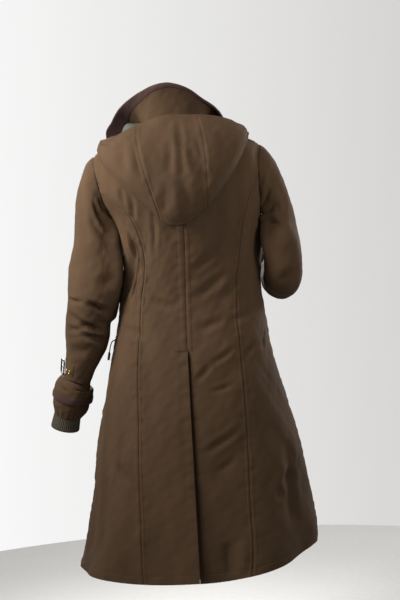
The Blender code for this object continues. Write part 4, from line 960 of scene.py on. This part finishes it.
def make_binding(arm, angles):
    """Plum binding that rolls over the sleeve's hem."""
    share = np.linspace(0, 1, BINDING_ROWS)
    stations = BINDING_STATION + (HEM_STATION + BINDING_PAST - BINDING_STATION) * share
    angle, station = np.meshgrid(angles, stations)
    roll = rolled(share, *BINDING_ROLL)[:, None]
    shell(f"cuff_binding_{arm.label}", sleeve_point(arm, angle, station, SEAM_GAP + roll),
          sleeve_point(arm, angle, station, SEAM_GAP), "plum_moleskin", closed=True)


def make_storm_cuff(arm, angles):
    """Gathered cuff inside the sleeve's hem."""
    angle, station = np.meshgrid(angles, np.linspace(STORM_CUFF[0, 0], STORM_CUFF[-1, 0], STORM_ROWS))
    turn = np.radians(angle)
    gather = GATHER * np.cos(turn * GATHER_WAVES + np.sin(turn * GATHER_DRIFT))
    gather = gather * np.clip((station - GATHER_START) / GATHER_REACH, 0, 1)
    soft = ripple_height(turn * STORM_RADIUS, station * STORM_STATION_LENGTH) + gather
    sizes = curve(STORM_CUFF[:, 0], STORM_CUFF[:, 1:], station) + soft[..., None]
    shell(f"storm_cuff_{arm.label}", arm_point(arm, angle, station, sizes),
          arm_point(arm, angle, station, sizes - SHELL), "coat_cloth", closed=True)


def make_rib_cuff(arm):
    """Ribbed knit at the wrist."""
    angles = np.arange(RIB_COUNT * RIB_POINTS) * 360.0 / (RIB_COUNT * RIB_POINTS)
    angle, station = np.meshgrid(angles, np.linspace(RIB_CUFF[0, 0], RIB_CUFF[-1, 0], RIB_ROWS))
    sizes = curve(RIB_CUFF[:, 0], RIB_CUFF[:, 1:], station)
    rib = RIB_DEPTH * np.cos(np.radians(angle) * RIB_COUNT) - RIB_DEPTH
    end = -RIB_ROUND * np.clip((station - RIB_ROUND_FROM) / (RIB_CUFF[-1, 0] - RIB_ROUND_FROM), 0, 1) ** 2
    shell(f"rib_cuff_{arm.label}", arm_point(arm, angle, station, sizes + (rib + end)[..., None]),
          arm_point(arm, angle, station, sizes - 2 * RIB_DEPTH - FACING), "rib_knit", closed=True)


def make_cuffs(arm):
    angles = np.arange(CUFF_COLUMNS) * 360.0 / CUFF_COLUMNS
    make_binding(arm, angles)
    make_storm_cuff(arm, angles)
    make_rib_cuff(arm)


def make_cuff_strap(arm):
    """Tab round the outer side of the sleeve, with a wire buckle and two eyelets."""
    low, high = STRAP_STATIONS
    angle, station = np.meshgrid(np.linspace(-STRAP_REACH, STRAP_REACH, STRAP_COLUMNS),
                                 np.linspace(low, high, STRAP_ROWS))
    share = (station - low) / (high - low)
    side_edge_at = np.minimum(share, 1 - share) * STRAP_WIDTH
    edge = np.minimum(side_edge_at, (1 - abs(angle) / STRAP_REACH) * STRAP_LENGTH)
    raised = STRAP_EDGE + (1 - STRAP_EDGE) * np.clip(edge / STRAP_ROUND, 0, 1) ** 0.5
    height = SEAM_GAP + STRAP_THICK * raised - STRAP_DENT * bell(edge - STRAP_STITCH, STRAP_DENT_SPREAD)
    shell(f"cuff_strap_{arm.label}", sleeve_point(arm, angle, station, height),
          sleeve_point(arm, angle, station, SEAM_GAP), "coat_cloth")
    above, below = STRAP_RINGS
    along = Vector(arm.rings[above, :3] - arm.rings[below, :3]).normalized()

    def on_strap(angle, out):
        at, top = (np.array(angle), np.array((low + high) / 2)), SEAM_GAP + STRAP_THICK
        point = sleeve_point(arm, *at, top + out)
        return Vector(point), Vector(point - sleeve_point(arm, *at, top))

    point, normal = on_strap(BUCKLE_ANGLE, BUCKLE_STAND)
    normal.rotate(Matrix.Rotation(math.radians(arm.side * BUCKLE_TILT), 3, along))
    name = f"cuff_buckle_{arm.label}"
    data = buckle_mesh(name)
    stand(data, point, normal, along)
    add_piece(f"{name}_wire", data, "dark_metal", name)
    for number, at in enumerate(EYELET_ANGLES, 1):
        name = f"cuff_eyelet_{number}_{arm.label}"
        data = ring_mesh(name, EYELET_RADIUS, EYELET_WIRE)
        stand(data, *on_strap(at, EYELET_WIRE + SEAM_GAP))
        add_piece(f"{name}_rolled", data, "brass", name)


def tube_mesh(path, radius, closed):
    """Points and faces of a round wire along a path in its own XY plane."""
    ahead = np.roll(path, -1, axis=0) - np.roll(path, 1, axis=0) if closed else np.gradient(path, axis=0)
    up = np.array((0.0, 0.0, 1.0))
    across = np.cross(unit(ahead), up)
    turn = np.arange(WIRE_SIDES) * 2 * np.pi / WIRE_SIDES
    ring = np.cos(turn)[None, :, None] * across[:, None] + np.sin(turn)[None, :, None] * up
    points = (path[:, None] + radius * ring).reshape(-1, 3)
    index = np.arange(len(points)).reshape(-1, WIRE_SIDES)
    if closed:
        return points, ring_faces(index, np.roll(index, -1, axis=0))
    return points, ring_faces(index[:-1], index[1:]) + [index[0, ::-1].tolist(), index[-1].tolist()]


def ring_mesh(name, radius, wire):
    turn = np.arange(RING_POINTS) * 2 * np.pi / RING_POINTS
    path = np.stack((radius * np.cos(turn), radius * np.sin(turn), 0 * turn), -1)
    return mesh_of(name, *tube_mesh(path, wire, True))


def buckle_mesh(name):
    """Rectangular wire frame with round corners and a tongue across it."""
    corner = min(BUCKLE_WIDE, BUCKLE_LONG) * BUCKLE_CORNER
    path = []
    for quarter, (sx, sy) in enumerate(((1, 1), (-1, 1), (-1, -1), (1, -1))):
        for part in range(CORNER_STEPS + 1):
            turn = math.radians(90 * quarter + 90 * part / CORNER_STEPS)
            path.append((sx * (BUCKLE_WIDE / 2 - corner) + corner * math.cos(turn),
                         sy * (BUCKLE_LONG / 2 - corner) + corner * math.sin(turn), 0.0))
    points, faces = tube_mesh(np.array(path), BUCKLE_WIRE, True)
    tongue = np.array([(x, 0.0, 0.0) for x in np.linspace(-BUCKLE_WIDE / 2, BUCKLE_WIDE / 2, TONGUE_POINTS)])
    more, extra = tube_mesh(tongue, TONGUE_WIRE, False)
    faces += [[i + len(points) for i in face] for face in extra]
    return mesh_of(name, np.concatenate((points, more)), faces)


def make_collar():
    angles = np.linspace(-COLLAR_END, COLLAR_END, COLLAR_FINENESS)
    bound = np.interp(angles, *BINDING.T)
    across = np.linspace(0, 1, COLLAR_BINDING_ROWS)
    below = np.linspace(0, 1, COLLAR_ROWS)[:, None] * (1 - bound)
    above = 1 - bound + across[1:, None] * bound
    share = np.concatenate((below, above))
    angle = angles + 0 * share
    face = collar_point(angle, share)
    face[0, :, 2] += SEAM_GAP
    inward = grid_normals(face)
    soft = ripple_height(np.radians(angle) * COLLAR_RADIUS, share * COLLAR_RISE)
    soft = COLLAR_SOFT * soft * np.clip(share / COLLAR_CALM, 0, 1)
    face = face - soft[..., None] * inward
    shell("collar", face, face + SHELL * inward, "coat_cloth")
    lining = CLOTH + SEAM_GAP
    shell("collar_facing", face + lining * inward, face + (lining + FACING) * inward, "plum_moleskin")
    edge, outward = face[-COLLAR_BINDING_ROWS:], -inward[-COLLAR_BINDING_ROWS:]
    roll = rolled(across, *COLLAR_ROLL)[:, None, None]
    shell("collar_binding", edge + (SEAM_GAP + roll) * outward, edge + SEAM_GAP * outward, "plum_moleskin")


def hood_face(angles_of):
    """Outer face of the hood with wrinkles and stitched rim, the way into it, and the distance from the rim.

    angles_of gives the columns' angles for the right and left seam of the middle panel in one row.
    """
    down, up = np.linspace(-1, 0, HOOD_UNDER), np.linspace(0, 1, HOOD_OVER)
    shares = np.concatenate((down, np.zeros(HOOD_FOOT), up))
    turning = np.linspace(0, np.pi, HOOD_FOOT + 2)[1:-1]
    turn = np.concatenate((np.zeros(HOOD_UNDER), turning, np.full(HOOD_OVER, np.pi)))
    seams = curve(HOOD_SEAMS[:, 0], HOOD_SEAMS[:, 1:], shares)
    angles = np.stack([angles_of(right, left) for right, left in seams])
    face = hood_grid(angles, shares, turn)
    inward = grid_normals(face)
    share = np.clip(shares, 0, 1)[:, None]
    place = (np.radians(angles) * HOOD_RADIUS, share * HOOD_RISE + 0 * angles)
    wrinkles = crease_height(*place, HOOD_FOLDS, HOOD_RADIUS, HOOD_RISE, lips=True)
    reach = np.linalg.norm(np.diff(face, axis=0, append=face[-1:]), axis=-1)
    below_rim = np.cumsum(reach[::-1], axis=0)[::-1]
    channel = bell(below_rim - RIM_STITCH / 2, RIM_STITCH / 2, 4)
    channel = channel - bell(below_rim - RIM_STITCH, RIM_DENT_SPREAD)
    soft = ripple_height(face[..., 0], face[..., 2])
    height = (wrinkles + soft + RIM_PUFF * channel) * np.clip(share / HOOD_CALM, 0, 1)
    return face - height[..., None] * inward, inward, below_rim


def make_hood():
    """Two sides and a middle panel that run right round the hanging hood, and the lining in its mouth."""
    lines = []
    turned = HOOD_UNDER + HOOD_FOOT
    panels = (("hood_right", HOOD_SIDE_WIDTH, lambda right, left: (-HOOD_END, right), (False, True)),
              ("hood_middle", HOOD_MIDDLE_WIDTH, lambda right, left: (right, left), (True, True)),
              ("hood_left", HOOD_SIDE_WIDTH, lambda right, left: (left, HOOD_END), (True, False)))
    for name, width, edges, sewn in panels:
        across = seam_columns(np.array((width,)), int(width / CELL))[0]
        face, inward, below_rim = hood_face(
            lambda right, left: np.interp(across, (0, width), edges(right, left)))
        height = (seam_height(across) * sewn[0] + seam_height(width - across) * sewn[1])[None, :]
        shown = np.clip(HOOD_SEAM_LEAST + below_rim / HOOD_SEAM_FADE, 0, HOOD_SEAM_MOST)
        height = (height * shown)[..., None]
        shell(name, face - height * inward, face + (SHELL - np.minimum(height, 0.0)) * inward, "coat_cloth")
        if name == "hood_middle":
            for column in np.searchsorted(SEAM_OFFSETS, SEAM_STITCHES):
                for place in (column, -1 - column):
                    lines.append((face[turned:, place], -inward[turned:, place]))
    angles = np.linspace(HOOD_LINE_MARGIN - HOOD_END, HOOD_END - HOOD_LINE_MARGIN, HOOD_LINE_POINTS)
    face, inward, below_rim = hood_face(lambda right, left: angles)
    rows = np.argmin(np.abs(below_rim[turned:] - RIM_STITCH), axis=0) + turned
    columns = np.arange(len(angles))
    lines.append((face[rows, columns], -inward[rows, columns]))
    stitches("hood_stitching", lines)
    lined = np.abs(angles) <= LINING_END
    lining, into = face[:, lined] + LINING_DEPTH * inward[:, lined], inward[:, lined]
    shell("hood_lining", lining, lining + HOOD_LINING * into, "sage_lining")


def make_drawcord():
    """Free end of the waist drawcord: eyelet in the side, short hanging cord, barrel end."""
    angle, row = np.array(CORD_ANGLE), np.array(CORD_ROW)
    normal = section_normal(angle, row)
    data = ring_mesh("drawcord_eyelet", CORD_EYELET_RADIUS, CORD_EYELET_WIRE)
    stand(data, body_point(angle, row, CORD_EYELET_WIRE + SEAM_GAP), normal)
    add_piece("drawcord_eyelet_rolled", data, "brass", "drawcord_eyelet")
    level = unit(normal * np.array((1.0, 1.0, 0.0)))
    root = body_point(angle, row)
    route = np.array([root + level * out + np.array((0.0, 0.0, up)) for out, up in CORD_ROUTE])
    smooth = curve(range(len(route)), route, np.linspace(0, len(route) - 1, CORD_POINTS))
    data = bpy.data.curves.new("drawcord", "CURVE")
    data.dimensions = "3D"
    data.bevel_depth, data.bevel_resolution, data.use_fill_caps = CORD_RADIUS, 3, True
    spline = data.splines.new("POLY")
    spline.points.add(len(smooth) - 1)
    for point, at in zip(spline.points, smooth):
        point.co = (*at, 1.0)
    cord = add_piece("drawcord_braid", data, "black_cord", "drawcord")
    hang = unit(route[-1] - route[-2])
    half = CORD_END_LENGTH / 2
    data = lathe("drawcord_end", CORD_END_PROFILE, CORD_END_RADIUS, half, CORD_END_AXIS, CORD_END_SIDES)
    stand(data, route[-1] + hang * (half + SEAM_GAP), -hang, Vector((0, 1, 0)))
    barrel = add_piece("drawcord_end_moulded", data, "cord_end", "drawcord_end")


# Room, light and camera

FLOOR_Z, FLOOR_RADIUS, FLOOR_SIDES = -1.43, 1.8, 96
WORLD_LEFT, WORLD_RIGHT = (0.97, 0.97, 0.97, 1.0), (0.64, 0.63, 0.62, 1.0)
WORLD_MIDDLE, WORLD_STEEPNESS = 0.5, 2.6
CAMERA_AT, CAMERA_AIM, CAMERA_ROLL = (-0.041, 3.4, -0.29), (-0.041, 0.0, -0.445), -3.5
CAMERA_LENS, CAMERA_SENSOR = 79.7, 36.0

# Lights: name, place, where it points, size in metres, watts, spread in degrees.
LIGHTS = (
    ("key", (1.10, 0.80, 0.75), (0.08, 0.0, -0.12), 0.35, 10.0, 100.0),
    ("side key", (1.15, 0.45, 0.05), (0.2, 0.0, -0.20), 0.4, 12.0, 100.0),
    ("high key", (0.6, 0.7, 1.0), (0.05, 0.0, -0.12), 0.35, 5.0, 90.0),
    ("right fill", (-1.9, 1.3, 0.35), (-0.15, 0.0, 0.0), 0.8, 4.5, 50.0),
    ("front key", (0.3, -2.3, 0.5), (0.0, -0.1, -0.40), 0.8, 20.0, 70.0),
    ("front fill", (-1.9, -1.4, 0.2), (-0.1, -0.1, -0.40), 0.9, 12.0, 70.0),
)


def make_floor():
    """Round pale studio floor below the coat, which hangs as it is worn."""
    paint = node_material("pale floor", ((0.48, 0.475, 0.46), (0.54, 0.535, 0.52)), (0.75, 0.90),
                          speckle=60.0, mottle=0.9, bump=0.0002)
    turn = np.arange(FLOOR_SIDES) * 2 * np.pi / FLOOR_SIDES
    rim = np.stack((FLOOR_RADIUS * np.cos(turn), FLOOR_RADIUS * np.sin(turn), 0 * turn + FLOOR_Z), -1)
    data = bpy.data.meshes.new("floor")
    data.from_pydata(rim.tolist(), [], [list(range(FLOOR_SIDES))])
    data.materials.append(paint)
    floor = put("floor", data)


def make_world():
    """Pale studio all round, brighter on the wearer's left."""
    world = bpy.data.worlds.new("studio")
    world.use_nodes = True
    nodes, link = world.node_tree.nodes, world.node_tree.links.new
    where, place = nodes.new("ShaderNodeTexCoord"), nodes.new("ShaderNodeMapping")
    place.inputs["Location"].default_value = (WORLD_MIDDLE, 0, 0)
    place.inputs["Scale"].default_value = (WORLD_STEEPNESS, 0, 0)
    blend, ramp = nodes.new("ShaderNodeTexGradient"), nodes.new("ShaderNodeValToRGB")
    ramp.color_ramp.elements[0].color, ramp.color_ramp.elements[1].color = WORLD_RIGHT, WORLD_LEFT
    link(where.outputs["Generated"], place.inputs["Vector"])
    link(place.outputs["Vector"], blend.inputs["Vector"])
    link(blend.outputs["Color"], ramp.inputs["Fac"])
    link(ramp.outputs["Color"], nodes["Background"].inputs["Color"])
    nodes["Background"].inputs["Strength"].default_value = 1.0
    bpy.context.scene.world = world
    bpy.context.scene.view_settings.view_transform = "Standard"


def looking(at, aim):
    return (Vector(aim) - Vector(at)).to_track_quat("-Z", "Y")


def add_light(name, at, aim, size, power, spread):
    data = bpy.data.lights.new(name, "AREA")
    data.shape, data.size, data.energy, data.spread = "DISK", size, power, math.radians(spread)
    light = put(name, data)
    light.location = at
    light.rotation_euler = looking(at, aim).to_euler()


def make_light_and_camera():
    for light in LIGHTS:
        add_light(*light)
    data = bpy.data.cameras.new("camera")
    data.lens, data.sensor_width = CAMERA_LENS, CAMERA_SENSOR
    camera = put("camera", data)
    turn = looking(CAMERA_AT, CAMERA_AIM).to_matrix() @ Matrix.Rotation(math.radians(CAMERA_ROLL), 3, "Z")
    camera.matrix_world = Matrix.LocRotScale(Vector(CAMERA_AT), turn, None)
    bpy.context.scene.camera = camera


make_light_and_camera()
make_world()
make_floor()
MATERIALS = make_materials()
make_drawcord()
make_body()
make_vent_underlap()
make_front_fly()
for arm in ARMS:
    make_sleeve(arm)
    make_cuffs(arm)
    make_cuff_strap(arm)
make_collar()
make_hood()
